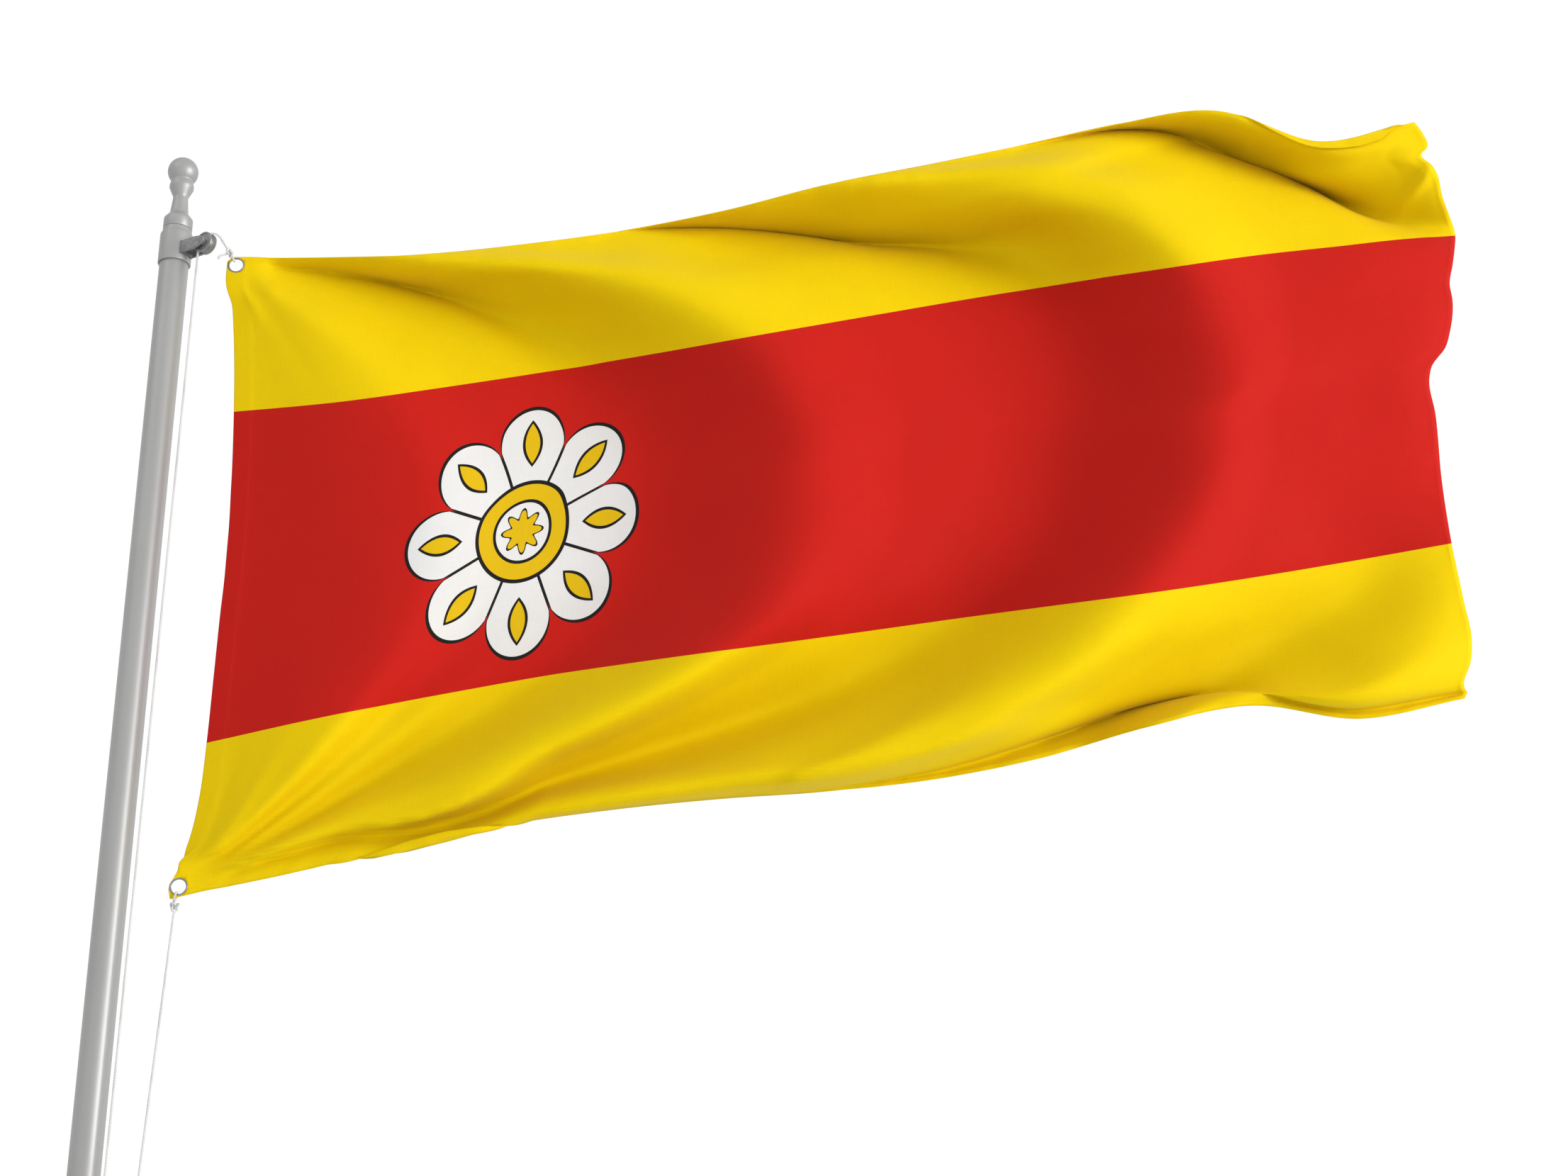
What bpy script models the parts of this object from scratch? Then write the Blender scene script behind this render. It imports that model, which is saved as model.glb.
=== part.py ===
"""City flag flying from the head of its flagpole, on a looped halyard.

The pole stands on z = 0 with its axis on x = y = 0. The cloth flies toward +X and is seen from -Y.
All sizes are in metres.
"""
from math import cos, hypot, pi, radians, sin
from typing import NamedTuple

import bmesh
import bpy
import numpy as np
from mathutils import Matrix, Vector

GAP = 0.0003

MAST_RADIUS = 0.026
MAST_TOP = 2.3325
TRUCK_BOTTOM = 2.262
TRUCK_TOP = 2.323
TRUCK_RADIUS = 0.02925
TRUCK_SHOULDER = 0.0025

FINIAL_SEAT = MAST_TOP + GAP
FINIAL_BALL_RADIUS = 0.0275
FINIAL_BALL_HEIGHT = 0.120

BRACKET_TURN = radians(-31.0)
BRACKET_WIDTH = 0.0295
BRACKET_REACH = 0.0850
CHEEK_THICKNESS = 0.0035
CHEEK_HALF_HEIGHT = 0.012
CHEEK_TIP_START = 0.053
WEB_REACH = 0.0335

SHEAVE_REACH = 0.0757
SHEAVE_HEIGHT = 2.285
SHEAVE_RADIUS = 0.0197
SHEAVE_HALF_WIDTH = 0.0075
SHEAVE_GROOVE_RADIUS = 0.015
SHEAVE_HUB_RADIUS = 0.0065
PIN_RADIUS = 0.004

ROPE_RADIUS = 0.0024
KNOT_SCALE = 0.0026
KNOT_RISE = 0.0037
KNOT_POINTS = 28
ROPE_END_GAP = 0.0007
STOPPER_DROP = 0.0026

EYELET_OUTER = 0.015
EYELET_INNER = 0.0123
EYELET_NECK = 0.0132
EYELET_HALF_THICKNESS = 0.0017
EYELET_INSET = 0.017

CLOTH_FLY = 2.4
CLOTH_HOIST = 1.2
CLOTH_THICKNESS = 0.0012
CLOTH_HALF_GROOVE = CLOTH_THICKNESS / 2 + GAP
CLOTH_HOLE_RADIUS = EYELET_NECK + GAP
CLOTH_CELLS = (67, 35)
EDGE_CROWDING = 0.55
FLAT_REACH = 0.026
FLAT_BLEND = 0.085
LOWER_CORNER_TURN = radians(14.0)

ANCHOR_HEIGHT = 0.580
ANCHOR_COLLAR_HALF = 0.012
ANCHOR_COLLAR_RADIUS = 0.030
ANCHOR_PLATE_HALF = 0.002

# Point from which the outline of the flying cloth is laid out on the plane y = 0
EYE = Vector((1.107, -3.813, 0.25))

OUTWARD = Vector((cos(BRACKET_TURN), sin(BRACKET_TURN), 0.0))
ACROSS = Vector((-sin(BRACKET_TURN), cos(BRACKET_TURN), 0.0))
SHEAVE_CENTRE = OUTWARD * SHEAVE_REACH + Vector((0.0, 0.0, SHEAVE_HEIGHT))
ROPE_RUN_RADIUS = SHEAVE_GROOVE_RADIUS + ROPE_RADIUS + GAP

UPPER_EYELET = Vector((0.1131, 0.0, 2.2608))
LOWER_EYELET = Vector((0.1093, 0.0, 1.1138))
UPPER_KNOT = Vector((0.1041, -0.0175, 2.2770))
LOWER_KNOT = Vector((0.1062, -0.0010, 1.0800))
UPPER_LOOP_WAY = Vector((-0.456, 0.0, 0.890))
LOWER_LOOP_WAY = Vector((-0.21, 0.0, -0.98))
UPPER_LOOP_REACH = 0.0245
LOWER_LOOP_REACH = 0.0249
MAIN_ANCHOR = OUTWARD * 0.0470 + Vector((0.0, 0.0, ANCHOR_HEIGHT))
LOWER_ANCHOR = Vector((0.0855, -0.0040, ANCHOR_HEIGHT))


class Station(NamedTuple):
    """Heights of the cloth's four level lines at one distance from the hoist."""
    fly: float
    top: float
    upper_seam: float
    lower_seam: float
    bottom: float


class Edge(NamedTuple):
    """Where the hoist edge and the fly edge lie at one share of the drop."""
    share: float
    hoist_x: float
    fly_x: float


class FoldPoint(NamedTuple):
    """A fold line's distance along the fly and its depth at one drop; minus is toward -Y."""
    drop: float
    fly: float
    depth: float


class PleatPoint(NamedTuple):
    """A pleat's place and size at one distance along the fly."""
    fly: float
    drop: float
    depth: float
    half_width: float
    lap: float


SEAM_SHARES = (0.0, 0.25, 0.75, 1.0)

STATIONS = (
    Station(0.0, 2.276, 1.970, 1.360, 1.094),
    Station(0.2, 2.277, 1.989, 1.402, 1.132),
    Station(0.4, 2.284, 2.017, 1.439, 1.176),
    Station(0.6, 2.305, 2.048, 1.473, 1.217),
    Station(0.8, 2.334, 2.082, 1.501, 1.244),
    Station(1.0, 2.375, 2.118, 1.527, 1.263),
    Station(1.2, 2.428, 2.153, 1.552, 1.276),
    Station(1.4, 2.468, 2.188, 1.578, 1.297),
    Station(1.6, 2.511, 2.222, 1.603, 1.334),
    Station(1.8, 2.556, 2.252, 1.628, 1.388),
    Station(2.0, 2.583, 2.281, 1.656, 1.426),
    Station(2.2, 2.513, 2.303, 1.687, 1.403),
    Station(2.4, 2.559, 2.330, 1.720, 1.439),
)

EDGES = (
    Edge(0.000, 0.097, 2.278),
    Edge(0.028, 0.102, 2.292),
    Edge(0.060, 0.108, 2.296),
    Edge(0.073, 0.111, 2.284),
    Edge(0.096, 0.115, 2.302),
    Edge(0.163, 0.124, 2.316),
    Edge(0.250, 0.132, 2.331),
    Edge(0.308, 0.136, 2.321),
    Edge(0.345, 0.138, 2.311),
    Edge(0.372, 0.139, 2.313),
    Edge(0.425, 0.141, 2.302),
    Edge(0.450, 0.141, 2.291),
    Edge(0.480, 0.141, 2.263),
    Edge(0.497, 0.141, 2.257),
    Edge(0.555, 0.139, 2.261),
    Edge(0.654, 0.137, 2.260),
    Edge(0.750, 0.135, 2.266),
    Edge(0.832, 0.131, 2.276),
    Edge(0.898, 0.121, 2.283),
    Edge(0.928, 0.113, 2.277),
    Edge(0.959, 0.104, 2.262),
    Edge(0.990, 0.095, 2.266),
    Edge(1.000, 0.092, 2.261),
)

HOIST_LINE = (
    FoldPoint(0.00, -0.02, 0.000),
    FoldPoint(0.10, 0.00, 0.004),
    FoldPoint(0.60, 0.02, 0.016),
    FoldPoint(1.10, 0.00, 0.004),
    FoldPoint(1.20, -0.02, 0.000),
)

RIDGE_ONE = (
    FoldPoint(0.000, 0.015, -0.001),
    FoldPoint(0.030, 0.035, -0.003),
    FoldPoint(0.130, 0.150, -0.024),
    FoldPoint(0.265, 0.260, -0.040),
    FoldPoint(0.420, 0.340, -0.050),
    FoldPoint(0.580, 0.380, -0.056),
    FoldPoint(0.730, 0.360, -0.056),
    FoldPoint(0.840, 0.300, -0.054),
    FoldPoint(0.980, 0.200, -0.044),
    FoldPoint(1.100, 0.080, -0.018),
    FoldPoint(1.170, 0.030, -0.002),
    FoldPoint(1.200, 0.020, 0.000),
)

VALLEY_ONE = (
    FoldPoint(0.000, 0.05, 0.002),
    FoldPoint(0.030, 0.14, 0.016),
    FoldPoint(0.070, 0.33, 0.034),
    FoldPoint(0.130, 0.46, 0.038),
    FoldPoint(0.230, 0.60, 0.034),
    FoldPoint(0.335, 0.70, 0.026),
    FoldPoint(0.460, 0.77, 0.018),
    FoldPoint(0.600, 0.79, 0.014),
    FoldPoint(0.750, 0.77, 0.016),
    FoldPoint(0.855, 0.67, 0.020),
    FoldPoint(0.950, 0.49, 0.024),
    FoldPoint(1.025, 0.32, 0.020),
    FoldPoint(1.090, 0.18, 0.010),
    FoldPoint(1.145, 0.06, 0.000),
    FoldPoint(1.200, 0.04, 0.000),
)

RIDGE_TWO = (
    FoldPoint(0.000, 0.40, -0.060),
    FoldPoint(0.030, 0.55, -0.075),
    FoldPoint(0.070, 0.68, -0.090),
    FoldPoint(0.155, 0.84, -0.105),
    FoldPoint(0.280, 0.99, -0.115),
    FoldPoint(0.430, 1.09, -0.120),
    FoldPoint(0.600, 1.14, -0.120),
    FoldPoint(0.760, 1.12, -0.120),
    FoldPoint(0.875, 1.02, -0.120),
    FoldPoint(0.970, 0.83, -0.115),
    FoldPoint(1.060, 0.60, -0.090),
    FoldPoint(1.120, 0.40, -0.060),
    FoldPoint(1.145, 0.20, -0.026),
    FoldPoint(1.170, 0.07, -0.004),
    FoldPoint(1.200, 0.06, 0.000),
)

VALLEY_TWO = (
    FoldPoint(0.000, 0.77, -0.020),
    FoldPoint(0.065, 1.02, 0.010),
    FoldPoint(0.135, 1.23, 0.024),
    FoldPoint(0.175, 1.40, 0.016),
    FoldPoint(0.260, 1.54, 0.000),
    FoldPoint(0.365, 1.59, -0.012),
    FoldPoint(0.500, 1.62, -0.020),
    FoldPoint(0.635, 1.62, -0.022),
    FoldPoint(0.720, 1.60, -0.016),
    FoldPoint(0.820, 1.52, -0.004),
    FoldPoint(0.895, 1.40, 0.012),
    FoldPoint(0.970, 1.24, 0.030),
    FoldPoint(1.040, 1.02, 0.040),
    FoldPoint(1.085, 0.83, 0.034),
    FoldPoint(1.130, 0.58, 0.020),
    FoldPoint(1.165, 0.14, 0.000),
    FoldPoint(1.200, 0.09, 0.000),
)

RIDGE_THREE = (
    FoldPoint(0.000, 1.30, -0.120),
    FoldPoint(0.040, 1.53, -0.140),
    FoldPoint(0.105, 1.68, -0.150),
    FoldPoint(0.225, 1.82, -0.158),
    FoldPoint(0.375, 1.92, -0.160),
    FoldPoint(0.545, 1.97, -0.160),
    FoldPoint(0.665, 1.96, -0.160),
    FoldPoint(0.775, 1.90, -0.160),
    FoldPoint(0.885, 1.80, -0.160),
    FoldPoint(1.015, 1.64, -0.155),
    FoldPoint(1.075, 1.50, -0.145),
    FoldPoint(1.140, 1.30, -0.125),
    FoldPoint(1.180, 0.98, -0.085),
    FoldPoint(1.200, 0.60, -0.040),
)

VALLEY_THREE = (
    FoldPoint(0.000, 1.60, -0.080),
    FoldPoint(0.030, 1.84, -0.050),
    FoldPoint(0.100, 2.02, -0.025),
    FoldPoint(0.145, 2.14, -0.020),
    FoldPoint(0.220, 2.24, -0.050),
    FoldPoint(0.300, 2.26, -0.085),
    FoldPoint(0.450, 2.26, -0.105),
    FoldPoint(0.600, 2.24, -0.105),
    FoldPoint(0.800, 2.24, -0.095),
    FoldPoint(0.900, 2.24, -0.070),
    FoldPoint(0.970, 2.14, -0.040),
    FoldPoint(1.030, 2.00, -0.015),
    FoldPoint(1.100, 1.87, 0.005),
    FoldPoint(1.145, 1.77, 0.005),
    FoldPoint(1.170, 1.71, -0.005),
    FoldPoint(1.200, 1.66, -0.020),
)

RIDGE_FOUR = (
    FoldPoint(0.000, 2.05, -0.120),
    FoldPoint(0.040, 2.25, -0.120),
    FoldPoint(0.100, 2.40, -0.105),
    FoldPoint(0.200, 2.42, -0.075),
    FoldPoint(0.300, 2.36, -0.078),
    FoldPoint(0.450, 2.34, -0.095),
    FoldPoint(0.600, 2.34, -0.095),
    FoldPoint(0.800, 2.36, -0.090),
    FoldPoint(0.900, 2.40, -0.085),
    FoldPoint(0.970, 2.38, -0.090),
    FoldPoint(1.030, 2.34, -0.105),
    FoldPoint(1.100, 2.26, -0.120),
    FoldPoint(1.145, 2.12, -0.125),
    FoldPoint(1.175, 1.96, -0.115),
    FoldPoint(1.200, 1.84, -0.100),
)

FLY_LINE = (
    FoldPoint(0.00, 2.46, -0.105),
    FoldPoint(0.10, 2.60, -0.070),
    FoldPoint(0.30, 2.56, -0.010),
    FoldPoint(0.60, 2.54, -0.015),
    FoldPoint(0.90, 2.60, -0.020),
    FoldPoint(1.00, 2.60, -0.030),
    FoldPoint(1.10, 2.50, -0.060),
    FoldPoint(1.20, 2.45, -0.070),
)

# Past a main ridge the cloth falls off early: share of the way to the valley, share of the fall
SHOULDER_WAY = 0.42
SHOULDER_FALL = 0.62

TOP_PLEATS = (
    (
        PleatPoint(0.00, 0.020, 0.000, 0.010, 0.000),
        PleatPoint(0.06, 0.025, 0.004, 0.010, 0.004),
        PleatPoint(0.18, 0.035, 0.016, 0.014, 0.012),
        PleatPoint(0.33, 0.070, 0.026, 0.022, 0.022),
        PleatPoint(0.46, 0.130, 0.026, 0.032, 0.020),
        PleatPoint(0.59, 0.230, 0.012, 0.045, 0.006),
        PleatPoint(0.72, 0.360, 0.000, 0.060, 0.000),
    ),
    (
        PleatPoint(0.68, -0.020, 0.000, 0.020, 0.000),
        PleatPoint(0.77, 0.000, 0.010, 0.020, 0.010),
        PleatPoint(1.02, 0.065, 0.035, 0.028, 0.045),
        PleatPoint(1.23, 0.135, 0.040, 0.038, 0.050),
        PleatPoint(1.40, 0.185, 0.030, 0.048, 0.030),
        PleatPoint(1.54, 0.270, 0.010, 0.060, 0.006),
        PleatPoint(1.70, 0.400, 0.000, 0.080, 0.000),
    ),
    (
        PleatPoint(1.50, -0.020, 0.000, 0.020, 0.000),
        PleatPoint(1.60, 0.000, 0.008, 0.020, 0.010),
        PleatPoint(1.84, 0.035, 0.035, 0.026, 0.040),
        PleatPoint(2.00, 0.100, 0.050, 0.034, 0.060),
        PleatPoint(2.15, 0.150, 0.060, 0.042, 0.070),
        PleatPoint(2.27, 0.235, 0.050, 0.050, 0.045),
        PleatPoint(2.42, 0.300, 0.040, 0.050, 0.020),
    ),
)

BOTTOM_PLEATS = (
    (
        PleatPoint(0.28, 1.220, 0.000, 0.010, 0.000),
        PleatPoint(0.36, 1.195, 0.006, 0.012, 0.006),
        PleatPoint(0.46, 1.180, 0.015, 0.014, 0.012),
        PleatPoint(0.56, 1.175, 0.020, 0.016, 0.014),
        PleatPoint(0.68, 1.190, 0.006, 0.015, 0.004),
        PleatPoint(0.76, 1.210, 0.000, 0.015, 0.000),
    ),
    (
        PleatPoint(1.00, 1.220, 0.000, 0.012, 0.000),
        PleatPoint(1.09, 1.200, 0.006, 0.012, 0.004),
        PleatPoint(1.25, 1.185, 0.016, 0.016, 0.014),
        PleatPoint(1.45, 1.170, 0.022, 0.020, 0.020),
        PleatPoint(1.63, 1.150, 0.028, 0.024, 0.026),
        PleatPoint(1.77, 1.135, 0.040, 0.030, 0.034),
        PleatPoint(1.90, 1.140, 0.045, 0.034, 0.036),
        PleatPoint(2.10, 1.165, 0.035, 0.026, 0.032),
        PleatPoint(2.30, 1.170, 0.030, 0.022, 0.026),
        PleatPoint(2.45, 1.180, 0.024, 0.020, 0.020),
    ),
)


# Reading the tables

def column(rows, name):
    """One named column of a table."""
    return np.array([getattr(row, name) for row in rows], float)


def read(rows, key, name, at):
    """Smooth reading of a column at the given values of the key column."""
    keys = column(rows, key)
    values = column(rows, name)
    at = np.clip(at, keys[0], keys[-1])
    cell = np.clip(np.searchsorted(keys, at, side="right") - 1, 0, len(keys) - 2)
    slopes = np.gradient(values, keys)
    span = keys[cell + 1] - keys[cell]
    return hermite((at - keys[cell]) / span, span, values[cell], values[cell + 1],
                   slopes[cell], slopes[cell + 1])


def hermite(t, span, start, end, start_slope, end_slope):
    """Cubic between two values with given slopes; t runs from 0 to 1 over the span."""
    return ((2 * t**3 - 3 * t**2 + 1) * start + (t**3 - 2 * t**2 + t) * span * start_slope
            + (3 * t**2 - 2 * t**3) * end + (t**3 - t**2) * span * end_slope)


def ease_through(knots, heights, at):
    """Smooth curve through a row of knots for each point, with no overshoot between them."""
    spans = [np.maximum(knots[k + 1] - knots[k], 1e-4) for k in range(len(knots) - 1)]
    rates = [(heights[k + 1] - heights[k]) / spans[k] for k in range(len(spans))]
    slopes = [rates[0]]
    for k in range(1, len(spans)):
        same_way = rates[k - 1] * rates[k] > 0
        before = np.where(same_way, rates[k - 1], 1.0)
        after = np.where(same_way, rates[k], 1.0)
        near, far = 2 * spans[k] + spans[k - 1], spans[k] + 2 * spans[k - 1]
        slopes.append(np.where(same_way, (near + far) / (near / before + far / after), 0.0))
    slopes.append(rates[-1])
    result = heights[0] + slopes[0] * (at - knots[0])
    for k, span in enumerate(spans):
        t = np.clip((at - knots[k]) / span, 0.0, 1.0)
        piece = hermite(t, span, heights[k], heights[k + 1], slopes[k], slopes[k + 1])
        result = np.where(at >= knots[k], piece, result)
    return result


# Shape of the flying cloth

def front_layout(fly, drop):
    """X and Z of the cloth as seen from the front, before its folds."""
    share = drop / CLOTH_HOIST
    names = ("top", "upper_seam", "lower_seam", "bottom")
    height = np.zeros_like(share)
    for name, own in zip(names, SEAM_SHARES):
        weight = np.ones_like(share)
        for other in SEAM_SHARES:
            if other != own:
                weight = weight * (share - other) / (own - other)
        height = height + weight * read(STATIONS, "fly", name, fly)
    hoist_x = read(EDGES, "share", "hoist_x", share)
    fly_x = read(EDGES, "share", "fly_x", share)
    return hoist_x + (fly_x - hoist_x) * fly / CLOTH_FLY, height


def fold_depth(fly, drop):
    """Depth of the broad folds, which arch from the upper eyelet round to the lower one."""
    lines = ((HOIST_LINE, False), (RIDGE_ONE, True), (VALLEY_ONE, False), (RIDGE_TWO, True),
             (VALLEY_TWO, False), (RIDGE_THREE, True), (VALLEY_THREE, False),
             (RIDGE_FOUR, False), (FLY_LINE, False))
    places = [read(rows, "drop", "fly", drop) for rows, _ in lines]
    depths = [read(rows, "drop", "depth", drop) for rows, _ in lines]
    knots, heights = [], []
    for k, (_, is_main_ridge) in enumerate(lines):
        knots.append(places[k])
        heights.append(depths[k])
        if is_main_ridge:
            knots.append(places[k] + SHOULDER_WAY * (places[k + 1] - places[k]))
            heights.append(depths[k] + SHOULDER_FALL * (depths[k + 1] - depths[k]))
    return ease_through(knots, heights, fly)


def swell(q):
    """Bell curve of height 1 and half width about 1."""
    return np.exp(-q**2)


def rise(q):
    """Smooth step from 0 to 1 over a half width of 1."""
    return 0.5 * (1.0 + np.tanh(1.6 * q))


def pleat(rows, fly, drop, edge_drop):
    """Hollow of one pleat, how far it slides the cloth, and the slide left at the edge."""
    place = read(rows, "fly", "drop", fly)
    depth, half_width, lap = (read(rows, "fly", name, fly) for name in ("depth", "half_width", "lap"))
    tilts = np.gradient(column(rows, "drop"), column(rows, "fly"))
    stretch = np.sqrt(1.0 + np.interp(fly, column(rows, "fly"), tilts)**2)
    toward_edge = 1.0 if edge_drop == 0.0 else -1.0
    live = fly > rows[0].fly
    beyond = toward_edge * (place - drop) / stretch / half_width
    at_edge = toward_edge * (place - edge_drop) / stretch / half_width
    hollow = depth * swell(beyond - 0.3) * live
    return hollow, lap * rise(beyond) * live, lap * rise(at_edge) * live


def seat_at_eyelets(points, fly, drop):
    """Cloth drawn flat round each eyelet, and blended into the folds."""
    seats = ((UPPER_EYELET, EYELET_INSET, 0.0),
             (LOWER_EYELET, CLOTH_HOIST - EYELET_INSET, LOWER_CORNER_TURN))
    for centre, eyelet_drop, turn in seats:
        side, rise_up = fly - EYELET_INSET, eyelet_drop - drop
        t = np.clip((np.hypot(side, rise_up) - FLAT_REACH) / (FLAT_BLEND - FLAT_REACH), 0.0, 1.0)
        hold = (1.0 - t * t * (3.0 - 2.0 * t))[..., None]
        flat = np.stack([centre.x + side * cos(turn) - rise_up * sin(turn), 0.0 * side,
                         centre.z + side * sin(turn) + rise_up * cos(turn)], -1)
        points = points * (1.0 - hold) + flat * hold
    return points


def cloth_points(fly, drop):
    """Places in space of points of the cloth, given as distances along its fly and drop."""
    x, z = front_layout(fly, drop)
    y = fold_depth(fly, drop)
    share = drop / CLOTH_HOIST
    top_pin = np.clip(1.0 - share / SEAM_SHARES[1], 0.0, 1.0)**2
    bottom_pin = np.clip(1.0 - (1.0 - share) / SEAM_SHARES[1], 0.0, 1.0)**2
    for rows in TOP_PLEATS:
        hollow, slide, edge_slide = pleat(rows, fly, drop, 0.0)
        y = y + hollow
        z = z - slide + edge_slide * top_pin
    for rows in BOTTOM_PLEATS:
        hollow, slide, edge_slide = pleat(rows, fly, drop, CLOTH_HOIST)
        y = y + hollow
        z = z + slide - edge_slide * bottom_pin
    eye = np.array(EYE)
    front = np.stack([x, np.zeros_like(x), z], -1)
    points = eye + (front - eye) * (1.0 - y / EYE.y)[..., None]
    return seat_at_eyelets(points, fly, drop)


# Building helpers

def clear_scene():
    """Start from an empty scene."""
    for item in list(bpy.data.objects):
        bpy.data.objects.remove(item, do_unlink=True)


def new_collection(name):
    """A collection linked to the scene."""
    collection = bpy.data.collections.new(name)
    bpy.context.scene.collection.children.link(collection)
    return collection


def new_material(name, colour, roughness, metallic):
    """A plain Principled finish."""
    material = bpy.data.materials.new(name)
    material.use_nodes = True
    shader = material.node_tree.nodes["Principled BSDF"]
    shader.inputs["Base Color"].default_value = (*colour, 1.0)
    shader.inputs["Roughness"].default_value = roughness
    shader.inputs["Metallic"].default_value = metallic
    return material


def add_object(name, data, collection, material=None):
    """An object of the given mesh or curve in a collection."""
    item = bpy.data.objects.new(name, data)
    collection.objects.link(item)
    if material is not None:
        data.materials.append(material)
    return item


def as_guide(item):
    """Mark an object as a cutter or a piece to be joined, not a part of its own."""
    item.hide_render = True
    item.display_type = "WIRE"
    return item


def round_shading(item):
    """Smooth shading with sharp edges kept."""
    item.data.shade_smooth()
    item.data.set_sharp_from_angle(angle=radians(35))


def turned(name, profile, steps, collection, material):
    """A turned piece: a profile of (radius, height) pairs swept round local Z."""
    mesh = bpy.data.meshes.new(name)
    count = len(profile)
    closed = profile[0][0] > 0.0
    links = [(k, k + 1) for k in range(count - 1)] + ([(count - 1, 0)] if closed else [])
    mesh.from_pydata([(r, 0.0, h) for r, h in profile], links, [])
    item = add_object(name, mesh, collection, material)
    screw = item.modifiers.new("Turning", "SCREW")
    screw.steps = steps
    screw.render_steps = steps
    screw.use_merge_vertices = True
    screw.merge_threshold = 0.00002
    screw.use_normal_calculate = True
    screw.use_smooth_shade = True
    return item


def cylinder(name, radius, low, high, collection, steps, material=None):
    """A closed cylinder on local Z between two heights."""
    mesh = bpy.data.meshes.new(name)
    shape = bmesh.new()
    bmesh.ops.create_cone(shape, cap_ends=True, segments=steps, radius1=radius, radius2=radius,
                          depth=high - low, matrix=Matrix.Translation((0, 0, (low + high) / 2)))
    shape.to_mesh(mesh)
    shape.free()
    item = add_object(name, mesh, collection, material)
    round_shading(item)
    return item


def box(name, low, high, collection, material=None):
    """A closed box between two corners."""
    mesh = bpy.data.meshes.new(name)
    shape = bmesh.new()
    size = Vector(high) - Vector(low)
    place = Matrix.Translation((Vector(low) + Vector(high)) / 2) @ Matrix.Diagonal((*size, 1.0))
    bmesh.ops.create_cube(shape, size=1.0, matrix=place)
    shape.to_mesh(mesh)
    shape.free()
    return add_object(name, mesh, collection, material)


def plate(name, outline, thickness, collection):
    """A flat plate: an outline in local XY, its thickness along local Z, made a mesh."""
    curve = bpy.data.curves.new(name, "CURVE")
    curve.dimensions = "2D"
    curve.fill_mode = "BOTH"
    curve.extrude = thickness / 2
    spline = curve.splines.new("POLY")
    spline.points.add(len(outline) - 1)
    for point, (x, y) in zip(spline.points, outline):
        point.co = (x, y, 0.0, 1.0)
    spline.use_cyclic_u = True
    source = add_object(name + "_outline", curve, collection)
    evaluated = source.evaluated_get(bpy.context.evaluated_depsgraph_get())
    mesh = bpy.data.meshes.new_from_object(evaluated)
    bpy.data.objects.remove(source, do_unlink=True)
    shape = bmesh.new()
    shape.from_mesh(mesh)
    bmesh.ops.remove_doubles(shape, verts=shape.verts, dist=0.00001)
    shape.to_mesh(mesh)
    shape.free()
    return add_object(name, mesh, collection)


def boolean(item, other, operation):
    """Cut an object with, or join it to, a guide."""
    modifier = item.modifiers.new(other.name, "BOOLEAN")
    modifier.operation = operation
    modifier.object = other
    modifier.solver = "EXACT"


def frame_on(origin, x_axis, y_axis, z_axis):
    """Matrix of a local frame placed in the world."""
    place = Matrix((x_axis, y_axis, z_axis)).transposed().to_4x4()
    place.translation = origin
    return place


def smooth_route(points, count, closed=False):
    """Points at even steps along a smooth curve through the given points."""
    given = np.array([tuple(p) for p in points])
    if closed:
        given = np.vstack([given[-2:], given, given[:3]])
    steps = np.linalg.norm(np.diff(given, axis=0), axis=1)
    key = np.concatenate([[0.0], np.cumsum(steps)])
    slopes = np.gradient(given, key, axis=0)
    low, high = (key[2], key[-3]) if closed else (key[0], key[-1])
    at = np.linspace(low, high, 20 * count)
    cell = np.clip(np.searchsorted(key, at, side="right") - 1, 0, len(key) - 2)
    span = (key[cell + 1] - key[cell])[:, None]
    t = (at - key[cell])[:, None] / span
    fine = hermite(t, span, given[cell], given[cell + 1], slopes[cell], slopes[cell + 1])
    run = np.concatenate([[0.0], np.cumsum(np.linalg.norm(np.diff(fine, axis=0), axis=1))])
    wanted = np.linspace(0.0, run[-1], count, endpoint=not closed)
    return [Vector([np.interp(w, run, fine[:, k]) for k in range(3)]) for w in wanted]


def rope(name, route, collection, material, closed=False):
    """A round rope along a route of points."""
    curve = bpy.data.curves.new(name, "CURVE")
    curve.dimensions = "3D"
    curve.bevel_depth = ROPE_RADIUS
    curve.bevel_resolution = 2
    curve.use_fill_caps = True
    spline = curve.splines.new("POLY")
    spline.points.add(len(route) - 1)
    for point, place in zip(spline.points, route):
        point.co = (*place, 1.0)
    spline.use_cyclic_u = closed
    spline.use_smooth = True
    return add_object(name, curve, collection, material)


# The pole and its head

def build_mast(parts, metal):
    """The pole, cut flat at its foot."""
    return cylinder("mast", MAST_RADIUS, 0.0, MAST_TOP, parts, 48, metal)


def build_truck(parts, metal):
    """The collar round the pole that carries the bracket."""
    bore = MAST_RADIUS + GAP
    profile = [
        (bore, TRUCK_TOP),
        (TRUCK_RADIUS - TRUCK_SHOULDER, TRUCK_TOP),
        (TRUCK_RADIUS - TRUCK_SHOULDER * 0.3, TRUCK_TOP - TRUCK_SHOULDER * 0.5),
        (TRUCK_RADIUS, TRUCK_TOP - TRUCK_SHOULDER * 1.4),
        (TRUCK_RADIUS, TRUCK_BOTTOM),
        (bore, TRUCK_BOTTOM),
    ]
    return turned("truck", profile, 40, parts, metal)


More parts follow.
